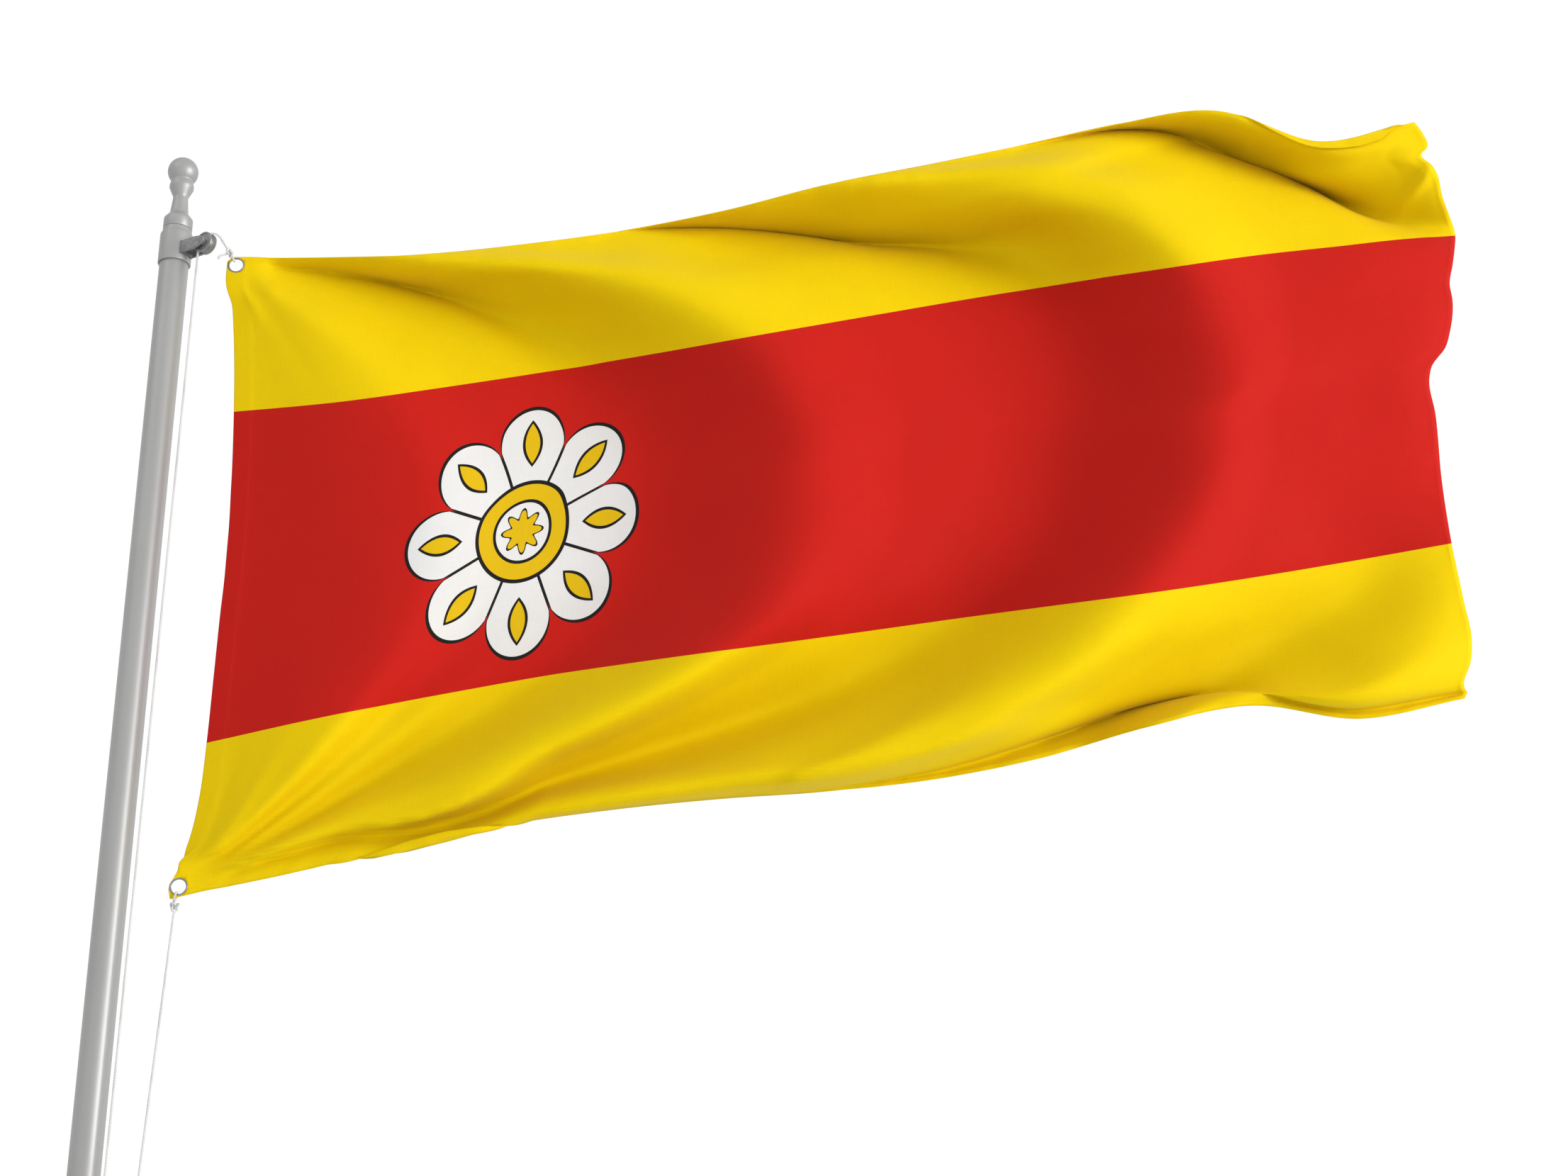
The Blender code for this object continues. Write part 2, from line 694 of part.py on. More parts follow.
def build_finial(parts, metal):
    """The turned ball finial: ball, cone, waisted neck and base."""
    ball_start, ball_end, ball_steps = pi / 2, radians(-43.0), 12
    profile = []
    for k in range(ball_steps + 1):
        angle = ball_start + (ball_end - ball_start) * k / ball_steps
        radius = FINIAL_BALL_RADIUS * cos(angle) if k else 0.0
        profile.append((radius, FINIAL_BALL_HEIGHT + FINIAL_BALL_RADIUS * sin(angle)))
    profile += [
        (0.0202, 0.0980),
        (0.0216, 0.0900),
        (0.0216, 0.0855),
        (0.0134, 0.0672),
        (0.0136, 0.0640),
        (0.0167, 0.0320),
        (0.0180, 0.0305),
        (0.0252, 0.0215),
        (MAST_RADIUS, 0.0190),
        (MAST_RADIUS, 0.0),
        (0.0, 0.0),
    ]
    item = turned("finial", profile, 28, parts, metal)
    item.location = (0.0, 0.0, FINIAL_SEAT)
    return item


def cheek_outline():
    """Tongue of a bracket cheek, seen from its side: X outward, Y up."""
    steps = 10
    tip_length = BRACKET_REACH - CHEEK_TIP_START
    tip = []
    for k in range(steps + 1):
        angle = -pi / 2 + pi * k / steps
        tip.append((CHEEK_TIP_START + tip_length * cos(angle), CHEEK_HALF_HEIGHT * sin(angle)))
    return [(0.024, CHEEK_HALF_HEIGHT), (0.024, -CHEEK_HALF_HEIGHT)] + tip


def build_bracket(parts, guides, metal):
    """The forked bracket: a web against the truck and two tongues, bent from one plate."""
    half = BRACKET_WIDTH / 2
    place = frame_on(Vector((0, 0, SHEAVE_HEIGHT)), OUTWARD, ACROSS, Vector((0, 0, 1)))
    web = box("sheave_bracket", (0.0245, -half + 0.001, -CHEEK_HALF_HEIGHT + 0.0002),
              (WEB_REACH, half - 0.001, CHEEK_HALF_HEIGHT - 0.0002), parts, metal)
    web.matrix_world = place
    for side in (-1, 1):
        cheek = as_guide(plate(f"cheek_{side}", cheek_outline(), CHEEK_THICKNESS, guides))
        stand = frame_on(ACROSS * side * (half - CHEEK_THICKNESS / 2) + Vector((0, 0, SHEAVE_HEIGHT)),
                         OUTWARD, Vector((0, 0, 1)), -ACROSS)
        cheek.matrix_world = stand
        boolean(web, cheek, "UNION")
    seat = as_guide(cylinder("truck_clearance", TRUCK_RADIUS + GAP, 2.20, 2.40, guides, 40))
    boolean(web, seat, "DIFFERENCE")
    hole = as_guide(cylinder("pin_hole", PIN_RADIUS + GAP, -0.03, 0.03, guides, 20))
    hole.matrix_world = frame_on(SHEAVE_CENTRE, OUTWARD, Vector((0, 0, 1)), -ACROSS)
    boolean(web, hole, "DIFFERENCE")
    return web


def build_sheave(parts, pin_metal, wheel_metal):
    """The grooved wheel and its pin, on one axis across the bracket."""
    place = frame_on(SHEAVE_CENTRE, OUTWARD, Vector((0, 0, 1)), -ACROSS)
    pin = cylinder("sheave_pin", PIN_RADIUS, -BRACKET_WIDTH / 2, BRACKET_WIDTH / 2, parts, 20, pin_metal)
    pin.matrix_world = place
    bore = PIN_RADIUS + GAP
    hub = BRACKET_WIDTH / 2 - CHEEK_THICKNESS - GAP
    rim = SHEAVE_HALF_WIDTH
    groove_half, steps = 0.0048, 6
    profile = [(bore, hub), (SHEAVE_HUB_RADIUS, hub), (SHEAVE_HUB_RADIUS, rim), (SHEAVE_RADIUS - 0.0008, rim),
               (SHEAVE_RADIUS, rim - 0.0009)]
    for k in range(steps + 1):
        along = groove_half * (1.0 - 2.0 * k / steps)
        hollow = (SHEAVE_RADIUS - SHEAVE_GROOVE_RADIUS) * cos(pi / 2 * along / groove_half)
        profile.append((SHEAVE_RADIUS - hollow, along))
    profile += [(SHEAVE_RADIUS, -rim + 0.0009), (SHEAVE_RADIUS - 0.0008, -rim), (SHEAVE_HUB_RADIUS, -rim),
                (SHEAVE_HUB_RADIUS, -hub), (bore, -hub)]
    wheel = turned("sheave", profile, 28, parts, wheel_metal)
    wheel.matrix_world = place
    return wheel


# The cloth and its eyelets

def crowded_keys(count, length):
    """Distances from 0 to a length, closer together near both ends."""
    share = np.linspace(0.0, 1.0, count + 1)
    return length * (share - EDGE_CROWDING * np.sin(2 * pi * share) / (2 * pi))


def split_cells(mesh, fly, drop):
    """Split each cell of the cloth along the diagonal that lies nearer its true surface."""
    shape = bmesh.new()
    shape.from_mesh(mesh)
    shape.verts.ensure_lookup_table()
    cells = list(shape.faces)
    corners = np.array([[v.index for v in cell.verts] for cell in cells])
    centres = cloth_points(fly[corners].mean(axis=1), drop[corners].mean(axis=1))
    places = np.array([tuple(v.co) for v in shape.verts])[corners]
    first_miss = np.linalg.norm((places[:, 0] + places[:, 2]) / 2 - centres, axis=1)
    second_miss = np.linalg.norm((places[:, 1] + places[:, 3]) / 2 - centres, axis=1)
    for cell, use_first in zip(cells, first_miss < second_miss):
        verts = list(cell.verts)
        ends = (verts[0], verts[2]) if use_first else (verts[1], verts[3])
        bmesh.utils.face_split(cell, *ends)
    shape.to_mesh(mesh)
    shape.free()


def build_cloth(parts, guides, cloth):
    """The one woven sheet, with its folds and the two punched holes for the eyelets."""
    across, down = CLOTH_CELLS
    bpy.ops.mesh.primitive_grid_add(x_subdivisions=across, y_subdivisions=down, size=1.0)
    item = bpy.context.object
    item.name = "flag_cloth"
    item.data.name = "flag_cloth"
    for collection in list(item.users_collection):
        collection.objects.unlink(item)
    parts.objects.link(item)
    flat = np.array([v.co[:2] for v in item.data.vertices])
    fly_keys = CLOTH_FLY * np.linspace(0.0, 1.0, across + 1)
    drop_keys = crowded_keys(down, CLOTH_HOIST)
    fly = fly_keys[np.rint((flat[:, 0] + 0.5) * across).astype(int)]
    drop = drop_keys[np.rint((0.5 - flat[:, 1]) * down).astype(int)]
    for vertex, place in zip(item.data.vertices, cloth_points(fly, drop)):
        vertex.co = place
    split_cells(item.data, fly, drop)
    item.data.materials.append(cloth)
    item.data.shade_smooth()
    thicken = item.modifiers.new("Thickness", "SOLIDIFY")
    thicken.thickness = CLOTH_THICKNESS
    thicken.offset = 0.0
    for name, centre in (("upper_hole", UPPER_EYELET), ("lower_hole", LOWER_EYELET)):
        punch = as_guide(cylinder(name, CLOTH_HOLE_RADIUS, -0.02, 0.02, guides, 24))
        punch.matrix_world = Matrix.Translation(centre) @ Matrix.Rotation(pi / 2, 4, "X")
        boolean(item, punch, "DIFFERENCE")
    return item


def build_eyelet(name, centre, parts, metal):
    """A pressed ring that grips the cloth in a groove."""
    face, rim = EYELET_HALF_THICKNESS, 0.0005
    profile = [
        (EYELET_INNER, face - rim),
        (EYELET_INNER + rim, face),
        (EYELET_OUTER - rim, face),
        (EYELET_OUTER, face - rim),
        (EYELET_OUTER, CLOTH_HALF_GROOVE),
        (EYELET_NECK, CLOTH_HALF_GROOVE),
        (EYELET_NECK, -CLOTH_HALF_GROOVE),
        (EYELET_OUTER, -CLOTH_HALF_GROOVE),
        (EYELET_OUTER, -face + rim),
        (EYELET_OUTER - rim, -face),
        (EYELET_INNER + rim, -face),
        (EYELET_INNER, -face + rim),
    ]
    item = turned(name, profile, 24, parts, metal)
    item.matrix_world = Matrix.Translation(centre) @ Matrix.Rotation(pi / 2, 4, "X")
    return item


# The halyard

def sheave_place(out, across, up):
    """A point given from the sheave's centre."""
    return SHEAVE_CENTRE + OUTWARD * out + ACROSS * across + Vector((0.0, 0.0, up))


MAIN_LEAVES = sheave_place(0.0184, 0.0150, 0.0148)


def main_route(upper_knot):
    """Up the pole side, over the sheave, off the far rim and down to the upper knot."""
    start = MAIN_ANCHOR - Vector((0.0, 0.0, STOPPER_DROP))
    tangent = sheave_place(-ROPE_RUN_RADIUS, 0.0, 0.0)
    straight = [start.lerp(tangent, k / 16) for k in range(16)]
    wrap = [sheave_place(ROPE_RUN_RADIUS * cos(a), 0.0, ROPE_RUN_RADIUS * sin(a))
            for a in (radians(180.0 - 12.0 * k) for k in range(10))]
    leaving = [
        sheave_place(0.0092, 0.0012, 0.0166),
        sheave_place(0.0130, 0.0040, 0.0184),
        sheave_place(0.0162, 0.0085, 0.0178),
        MAIN_LEAVES,
    ]
    end = meeting_point(MAIN_LEAVES, UPPER_KNOT, upper_knot)
    return straight + wrap + leaving + [MAIN_LEAVES.lerp(end, k / 3) for k in range(1, 4)]


def knot_route(centre, toward, beside):
    """A closed overhand knot of three bights, one of them toward a direction."""
    first = toward.normalized()
    second = (beside - first * beside.dot(first)).normalized()
    normal = first.cross(second)
    points = []
    for k in range(KNOT_POINTS):
        t = 2.0 * pi * k / KNOT_POINTS
        along = first * (2.0 * cos(2.0 * t) - cos(t)) * KNOT_SCALE
        sideways = second * (sin(t) + 2.0 * sin(2.0 * t)) * KNOT_SCALE
        points.append(centre + along + sideways + normal * KNOT_RISE * sin(3.0 * t))
    return points


def meeting_point(start, knot_centre, knot):
    """Where the end of a rope laid from a start toward a knot's centre meets the knot."""
    way = (knot_centre - start).normalized()
    reach, steps = 0.012, 120
    for k in range(steps):
        end = knot_centre - way * reach * (1.0 - k / steps)
        for point in knot:
            along = (point - end).dot(way)
            aside = (point - end - way * along).length - ROPE_RADIUS
            if hypot(max(along, 0.0), max(aside, 0.0)) < ROPE_RADIUS + ROPE_END_GAP:
                return end
    return knot_centre


def loop_route(centre, toward, far):
    """A loop of rope through an eyelet and round the cloth's edge."""
    section = (
        (0.0095, 0.0000),
        (0.0115, 0.0040),
        (0.0160, 0.0052),
        (far - 0.0030, 0.0046),
        (far, 0.0000),
        (far - 0.0030, -0.0046),
        (0.0160, -0.0052),
        (0.0115, -0.0040),
    )
    ring = [centre + toward * out + Vector((0.0, depth, 0.0)) for out, depth in section]
    return smooth_route(ring, 24, closed=True)


def build_halyard(parts, cord):
    """The rope with its two knots and loops, and its free ends."""
    upper_bight = UPPER_EYELET + UPPER_LOOP_WAY * UPPER_LOOP_REACH - Vector((0.0, 0.003, 0.0))
    upper_knot = knot_route(UPPER_KNOT, upper_bight - UPPER_KNOT, MAIN_LEAVES - UPPER_KNOT)
    rope("halyard_main", main_route(upper_knot), parts, cord)
    rope("knot_upper", upper_knot, parts, cord, closed=True)
    rope("loop_upper", loop_route(UPPER_EYELET, UPPER_LOOP_WAY, UPPER_LOOP_REACH), parts, cord, closed=True)
    tail_end = UPPER_KNOT + Vector((-0.0182, -0.0064, -0.0150))
    tail_bend = UPPER_KNOT + Vector((-0.0156, -0.0056, -0.0095))
    tail_start = meeting_point(tail_bend, UPPER_KNOT, upper_knot)
    rope("tail_upper", smooth_route((tail_start, tail_start.lerp(tail_bend, 0.5), tail_bend, tail_end), 8),
         parts, cord)
    downward = (LOWER_ANCHOR - LOWER_KNOT).normalized()
    lower_knot = knot_route(LOWER_KNOT, downward, Vector((1.0, 0.0, 0.0)))
    rope("knot_lower", lower_knot, parts, cord, closed=True)
    rope("loop_lower", loop_route(LOWER_EYELET, LOWER_LOOP_WAY, LOWER_LOOP_REACH), parts, cord, closed=True)
    below_knot = meeting_point(LOWER_ANCHOR, LOWER_KNOT, lower_knot)
    lower_end = LOWER_ANCHOR + downward * STOPPER_DROP
    rope("halyard_lower", [below_knot.lerp(lower_end, k / 9) for k in range(10)], parts, cord)
    stopper_reach = 3 * KNOT_SCALE + ROPE_RADIUS + GAP
    up = Vector((0.0, 0.0, 1.0))
    for name, place in (("stopper_main", MAIN_ANCHOR), ("stopper_lower", LOWER_ANCHOR)):
        centre = place - up * (STOPPER_DROP + stopper_reach)
        rope(name, knot_route(centre, up, ACROSS), parts, cord, closed=True)


def build_anchor(parts, guides, metal):
    """The collar and lug that hold both taut ropes low on the pole."""
    bore = MAST_RADIUS + GAP
    profile = [(bore, ANCHOR_COLLAR_HALF), (ANCHOR_COLLAR_RADIUS, ANCHOR_COLLAR_HALF),
               (ANCHOR_COLLAR_RADIUS, -ANCHOR_COLLAR_HALF), (bore, -ANCHOR_COLLAR_HALF)]
    collar = turned("anchor", profile, 40, parts, metal)
    collar.location = (0.0, 0.0, ANCHOR_HEIGHT)
    tip_radius, steps = 0.010, 8
    tip = []
    for k in range(steps + 1):
        angle = -pi / 2 + pi * k / steps
        tip.append((LOWER_ANCHOR.x + tip_radius * cos(angle), LOWER_ANCHOR.y + tip_radius * sin(angle)))
    outline = [(0.028, 0.010), (0.028, -0.032), (0.047, -0.034)] + tip
    lug = as_guide(plate("lug", outline, 2 * ANCHOR_PLATE_HALF, guides))
    lug.location = (0.0, 0.0, ANCHOR_HEIGHT)
    boolean(collar, lug, "UNION")
    for name, place in (("main_hole", MAIN_ANCHOR), ("lower_hole_low", LOWER_ANCHOR)):
        hole = as_guide(cylinder(name, ROPE_RADIUS + GAP, -0.01, 0.01, guides, 16))
        hole.location = place
        boolean(collar, hole, "DIFFERENCE")
    return collar


def build_flag():
    """Every piece of the flag and its pole head."""
    clear_scene()
    parts = new_collection("city_flag")
    guides = new_collection("guides")
    mast_metal = new_material("pole_grey", (0.62, 0.62, 0.60), 0.28, 0.35)
    bracket_metal = new_material("bracket_grey", (0.22, 0.22, 0.215), 0.45, 0.5)
    eyelet_metal = new_material("eyelet_steel", (0.20, 0.21, 0.23), 0.35, 0.9)
    cloth = new_material("flag_cloth", (0.80, 0.50, 0.01), 0.6, 0.0)
    cord = new_material("halyard_white", (0.85, 0.85, 0.83), 0.8, 0.0)
    build_mast(parts, mast_metal)
    build_truck(parts, mast_metal)
    build_finial(parts, mast_metal)
    build_bracket(parts, guides, bracket_metal)
    build_sheave(parts, bracket_metal, bracket_metal)
    build_cloth(parts, guides, cloth)
    build_eyelet("eyelet_upper", UPPER_EYELET, parts, eyelet_metal)
    build_eyelet("eyelet_lower", LOWER_EYELET, parts, eyelet_metal)
    build_halyard(parts, cord)
    build_anchor(parts, guides, mast_metal)
    bpy.context.view_layer.update()


build_flag()
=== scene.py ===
"""Looks of the city flag that flies from its pole head: cloth, stitching, rope, fittings and studio.

Lengths are in metres. The cloth flies toward +X and is seen from -Y, as in the photograph.
"""
import logging
from dataclasses import dataclass, field
from enum import Enum
from math import cos, pi, radians, sin, sqrt, tau
from typing import Iterable, Optional, Sequence, Union

import bmesh
import bpy
import numpy as np
from mathutils import Matrix, Vector


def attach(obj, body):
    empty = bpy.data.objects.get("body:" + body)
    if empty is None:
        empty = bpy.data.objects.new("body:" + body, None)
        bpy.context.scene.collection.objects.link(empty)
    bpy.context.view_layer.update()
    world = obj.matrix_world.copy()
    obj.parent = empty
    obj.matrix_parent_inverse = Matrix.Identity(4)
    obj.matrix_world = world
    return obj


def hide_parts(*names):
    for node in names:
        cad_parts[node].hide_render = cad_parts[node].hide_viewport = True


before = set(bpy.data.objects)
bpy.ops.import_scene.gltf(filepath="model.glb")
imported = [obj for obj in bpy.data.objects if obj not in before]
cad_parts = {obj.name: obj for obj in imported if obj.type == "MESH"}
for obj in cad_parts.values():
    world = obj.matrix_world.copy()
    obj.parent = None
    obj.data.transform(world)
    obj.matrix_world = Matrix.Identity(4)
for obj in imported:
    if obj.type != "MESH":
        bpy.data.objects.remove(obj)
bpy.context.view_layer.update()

LOG = logging.getLogger("city_flag")

CLOTH_FLY = 2.4
CLOTH_HOIST = 1.2
EYELET_INSET = 0.017
FLAT_REACH = 0.026
FLAT_BLEND = 0.085
LOWER_CORNER_TURN = radians(14.0)
UPPER_EYELET = Vector((0.1131, 0.0, 2.2608))
LOWER_EYELET = Vector((0.1093, 0.0, 1.1138))
EYE = Vector((1.107, -3.813, 0.25))
EYE_TILT = radians(20.0)
LENS_TO_WIDTH = 3320.0 / 2212.0

BRACKET_TURN = radians(-31.0)
OUTWARD = Vector((cos(BRACKET_TURN), sin(BRACKET_TURN), 0.0))
ACROSS = Vector((-sin(BRACKET_TURN), cos(BRACKET_TURN), 0.0))
UP = Vector((0.0, 0.0, 1.0))
SHEAVE_CENTRE = OUTWARD * 0.0757 + UP * 2.285
ROPE_RADIUS = 0.0024
GAP = 0.0003

Array = np.ndarray
Colour = tuple[float, float, float]


class Body(Enum):
    """The bodies of the frame that pieces ride on."""
    MAST = "mast"
    SHEAVE = "sheave"


class Slot(Enum):
    """The material slots of the record."""
    POLE = "pole"
    BRACKET = "bracket"
    EYELET = "eyelet"
    CLOTH = "cloth"
    CORD = "cord"


@dataclass(frozen=True)
class Station:
    """Heights of the cloth's four level lines at one distance from the hoist."""
    fly: float
    top: float
    upper_seam: float
    lower_seam: float
    bottom: float


@dataclass(frozen=True)
class Edge:
    """Where the hoist edge and the fly edge lie at one share of the drop."""
    share: float
    hoist_x: float
    fly_x: float


@dataclass(frozen=True)
class FoldPoint:
    """A fold line's distance along the fly and its depth at one drop; minus is toward -Y."""
    drop: float
    fly: float
    depth: float


@dataclass(frozen=True)
class PleatPoint:
    """A pleat's place and size at one distance along the fly."""
    fly: float
    drop: float
    depth: float
    half_width: float
    lap: float


SEAM_SHARES = (0.0, 0.25, 0.75, 1.0)

STATIONS = (
    Station(0.0, 2.276, 1.970, 1.360, 1.094),
    Station(0.2, 2.277, 1.989, 1.402, 1.132),
    Station(0.4, 2.284, 2.017, 1.439, 1.176),
    Station(0.6, 2.305, 2.048, 1.473, 1.217),
    Station(0.8, 2.334, 2.082, 1.501, 1.244),
    Station(1.0, 2.375, 2.118, 1.527, 1.263),
    Station(1.2, 2.428, 2.153, 1.552, 1.276),
    Station(1.4, 2.468, 2.188, 1.578, 1.297),
    Station(1.6, 2.511, 2.222, 1.603, 1.334),
    Station(1.8, 2.556, 2.252, 1.628, 1.388),
    Station(2.0, 2.583, 2.281, 1.656, 1.426),
    Station(2.2, 2.513, 2.303, 1.687, 1.403),
    Station(2.4, 2.559, 2.330, 1.720, 1.439),
)

EDGES = (
    Edge(0.000, 0.097, 2.278),
    Edge(0.028, 0.102, 2.292),
    Edge(0.060, 0.108, 2.296),
    Edge(0.073, 0.111, 2.284),
    Edge(0.096, 0.115, 2.302),
    Edge(0.163, 0.124, 2.316),
    Edge(0.250, 0.132, 2.331),
    Edge(0.308, 0.136, 2.321),
    Edge(0.345, 0.138, 2.311),
    Edge(0.372, 0.139, 2.313),
    Edge(0.425, 0.141, 2.302),
    Edge(0.450, 0.141, 2.291),
    Edge(0.480, 0.141, 2.263),
    Edge(0.497, 0.141, 2.257),
    Edge(0.555, 0.139, 2.261),
    Edge(0.654, 0.137, 2.260),
    Edge(0.750, 0.135, 2.266),
    Edge(0.832, 0.131, 2.276),
    Edge(0.898, 0.121, 2.283),
    Edge(0.928, 0.113, 2.277),
    Edge(0.959, 0.104, 2.262),
    Edge(0.990, 0.095, 2.266),
    Edge(1.000, 0.092, 2.261),
)

HOIST_LINE = (
    FoldPoint(0.00, -0.02, 0.000),
    FoldPoint(0.10, 0.00, 0.004),
    FoldPoint(0.60, 0.02, 0.016),
    FoldPoint(1.10, 0.00, 0.004),
    FoldPoint(1.20, -0.02, 0.000),
)

RIDGE_ONE = (
    FoldPoint(0.000, 0.015, -0.001),
    FoldPoint(0.030, 0.035, -0.003),
    FoldPoint(0.130, 0.150, -0.024),
    FoldPoint(0.265, 0.260, -0.040),
    FoldPoint(0.420, 0.340, -0.050),
    FoldPoint(0.580, 0.380, -0.056),
    FoldPoint(0.730, 0.360, -0.056),
    FoldPoint(0.840, 0.300, -0.054),
    FoldPoint(0.980, 0.200, -0.044),
    FoldPoint(1.100, 0.080, -0.018),
    FoldPoint(1.170, 0.030, -0.002),
    FoldPoint(1.200, 0.020, 0.000),
)

VALLEY_ONE = (
    FoldPoint(0.000, 0.05, 0.002),
    FoldPoint(0.030, 0.14, 0.016),
    FoldPoint(0.070, 0.33, 0.034),
    FoldPoint(0.130, 0.46, 0.038),
    FoldPoint(0.230, 0.60, 0.034),
    FoldPoint(0.335, 0.70, 0.026),
    FoldPoint(0.460, 0.77, 0.018),
    FoldPoint(0.600, 0.79, 0.014),
    FoldPoint(0.750, 0.77, 0.016),
    FoldPoint(0.855, 0.67, 0.020),
    FoldPoint(0.950, 0.49, 0.024),
    FoldPoint(1.025, 0.32, 0.020),
    FoldPoint(1.090, 0.18, 0.010),
    FoldPoint(1.145, 0.06, 0.000),
    FoldPoint(1.200, 0.04, 0.000),
)

RIDGE_TWO = (
    FoldPoint(0.000, 0.40, -0.060),
    FoldPoint(0.030, 0.55, -0.075),
    FoldPoint(0.070, 0.68, -0.090),
    FoldPoint(0.155, 0.84, -0.105),
    FoldPoint(0.280, 0.99, -0.115),
    FoldPoint(0.430, 1.09, -0.120),
    FoldPoint(0.600, 1.14, -0.120),
    FoldPoint(0.760, 1.12, -0.120),
    FoldPoint(0.875, 1.02, -0.120),
    FoldPoint(0.970, 0.83, -0.115),
    FoldPoint(1.060, 0.60, -0.090),
    FoldPoint(1.120, 0.40, -0.060),
    FoldPoint(1.145, 0.20, -0.026),
    FoldPoint(1.170, 0.07, -0.004),
    FoldPoint(1.200, 0.06, 0.000),
)

VALLEY_TWO = (
    FoldPoint(0.000, 0.77, -0.020),
    FoldPoint(0.065, 1.02, 0.010),
    FoldPoint(0.135, 1.23, 0.024),
    FoldPoint(0.175, 1.40, 0.016),
    FoldPoint(0.260, 1.54, 0.000),
    FoldPoint(0.365, 1.59, -0.012),
    FoldPoint(0.500, 1.62, -0.020),
    FoldPoint(0.635, 1.62, -0.022),
    FoldPoint(0.720, 1.60, -0.016),
    FoldPoint(0.820, 1.52, -0.004),
    FoldPoint(0.895, 1.40, 0.012),
    FoldPoint(0.970, 1.24, 0.030),
    FoldPoint(1.040, 1.02, 0.040),
    FoldPoint(1.085, 0.83, 0.034),
    FoldPoint(1.130, 0.58, 0.020),
    FoldPoint(1.165, 0.14, 0.000),
    FoldPoint(1.200, 0.09, 0.000),
)

RIDGE_THREE = (
    FoldPoint(0.000, 1.30, -0.120),
    FoldPoint(0.040, 1.53, -0.140),
    FoldPoint(0.105, 1.68, -0.150),
    FoldPoint(0.225, 1.82, -0.158),
    FoldPoint(0.375, 1.92, -0.160),
    FoldPoint(0.545, 1.97, -0.160),
    FoldPoint(0.665, 1.96, -0.160),
    FoldPoint(0.775, 1.90, -0.160),
    FoldPoint(0.885, 1.80, -0.160),
    FoldPoint(1.015, 1.64, -0.155),
    FoldPoint(1.075, 1.50, -0.145),
    FoldPoint(1.140, 1.30, -0.125),
    FoldPoint(1.180, 0.98, -0.085),
    FoldPoint(1.200, 0.60, -0.040),
)

VALLEY_THREE = (
    FoldPoint(0.000, 1.60, -0.080),
    FoldPoint(0.030, 1.84, -0.050),
    FoldPoint(0.100, 2.02, -0.025),
    FoldPoint(0.145, 2.14, -0.020),
    FoldPoint(0.220, 2.24, -0.050),
    FoldPoint(0.300, 2.26, -0.085),
    FoldPoint(0.450, 2.26, -0.105),
    FoldPoint(0.600, 2.24, -0.105),
    FoldPoint(0.800, 2.24, -0.095),
    FoldPoint(0.900, 2.24, -0.070),
    FoldPoint(0.970, 2.14, -0.040),
    FoldPoint(1.030, 2.00, -0.015),
    FoldPoint(1.100, 1.87, 0.005),
    FoldPoint(1.145, 1.77, 0.005),
    FoldPoint(1.170, 1.71, -0.005),
    FoldPoint(1.200, 1.66, -0.020),
)

RIDGE_FOUR = (
    FoldPoint(0.000, 2.05, -0.120),
    FoldPoint(0.040, 2.25, -0.120),
    FoldPoint(0.100, 2.40, -0.105),
    FoldPoint(0.200, 2.42, -0.075),
    FoldPoint(0.300, 2.36, -0.078),
    FoldPoint(0.450, 2.34, -0.095),
    FoldPoint(0.600, 2.34, -0.095),
    FoldPoint(0.800, 2.36, -0.090),
    FoldPoint(0.900, 2.40, -0.085),
    FoldPoint(0.970, 2.38, -0.090),
    FoldPoint(1.030, 2.34, -0.105),
    FoldPoint(1.100, 2.26, -0.120),
    FoldPoint(1.145, 2.12, -0.125),
    FoldPoint(1.175, 1.96, -0.115),
    FoldPoint(1.200, 1.84, -0.100),
)

FLY_LINE = (
    FoldPoint(0.00, 2.46, -0.105),
    FoldPoint(0.10, 2.60, -0.070),
    FoldPoint(0.30, 2.56, -0.010),
    FoldPoint(0.60, 2.54, -0.015),
    FoldPoint(0.90, 2.60, -0.020),
    FoldPoint(1.00, 2.60, -0.030),
    FoldPoint(1.10, 2.50, -0.060),
    FoldPoint(1.20, 2.45, -0.070),
)

# Past a main ridge the cloth falls off early: share of the way to the valley, share of the fall
SHOULDER_WAY = 0.42
SHOULDER_FALL = 0.62

TOP_PLEATS = (
    (
        PleatPoint(0.00, 0.020, 0.000, 0.010, 0.000),
        PleatPoint(0.06, 0.025, 0.004, 0.010, 0.004),
        PleatPoint(0.18, 0.035, 0.016, 0.014, 0.012),
        PleatPoint(0.33, 0.070, 0.026, 0.022, 0.022),
        PleatPoint(0.46, 0.130, 0.026, 0.032, 0.020),
        PleatPoint(0.59, 0.230, 0.012, 0.045, 0.006),
        PleatPoint(0.72, 0.360, 0.000, 0.060, 0.000),
    ),
    (
        PleatPoint(0.68, -0.020, 0.000, 0.020, 0.000),
        PleatPoint(0.77, 0.000, 0.010, 0.020, 0.010),
        PleatPoint(1.02, 0.065, 0.035, 0.028, 0.045),
        PleatPoint(1.23, 0.135, 0.040, 0.038, 0.050),
        PleatPoint(1.40, 0.185, 0.030, 0.048, 0.030),
        PleatPoint(1.54, 0.270, 0.010, 0.060, 0.006),
        PleatPoint(1.70, 0.400, 0.000, 0.080, 0.000),
    ),
    (
        PleatPoint(1.50, -0.020, 0.000, 0.020, 0.000),
        PleatPoint(1.60, 0.000, 0.008, 0.020, 0.010),
        PleatPoint(1.84, 0.035, 0.035, 0.026, 0.040),
        PleatPoint(2.00, 0.100, 0.050, 0.034, 0.060),
        PleatPoint(2.15, 0.150, 0.060, 0.042, 0.070),
        PleatPoint(2.27, 0.235, 0.050, 0.050, 0.045),
        PleatPoint(2.42, 0.300, 0.040, 0.050, 0.020),
    ),
)

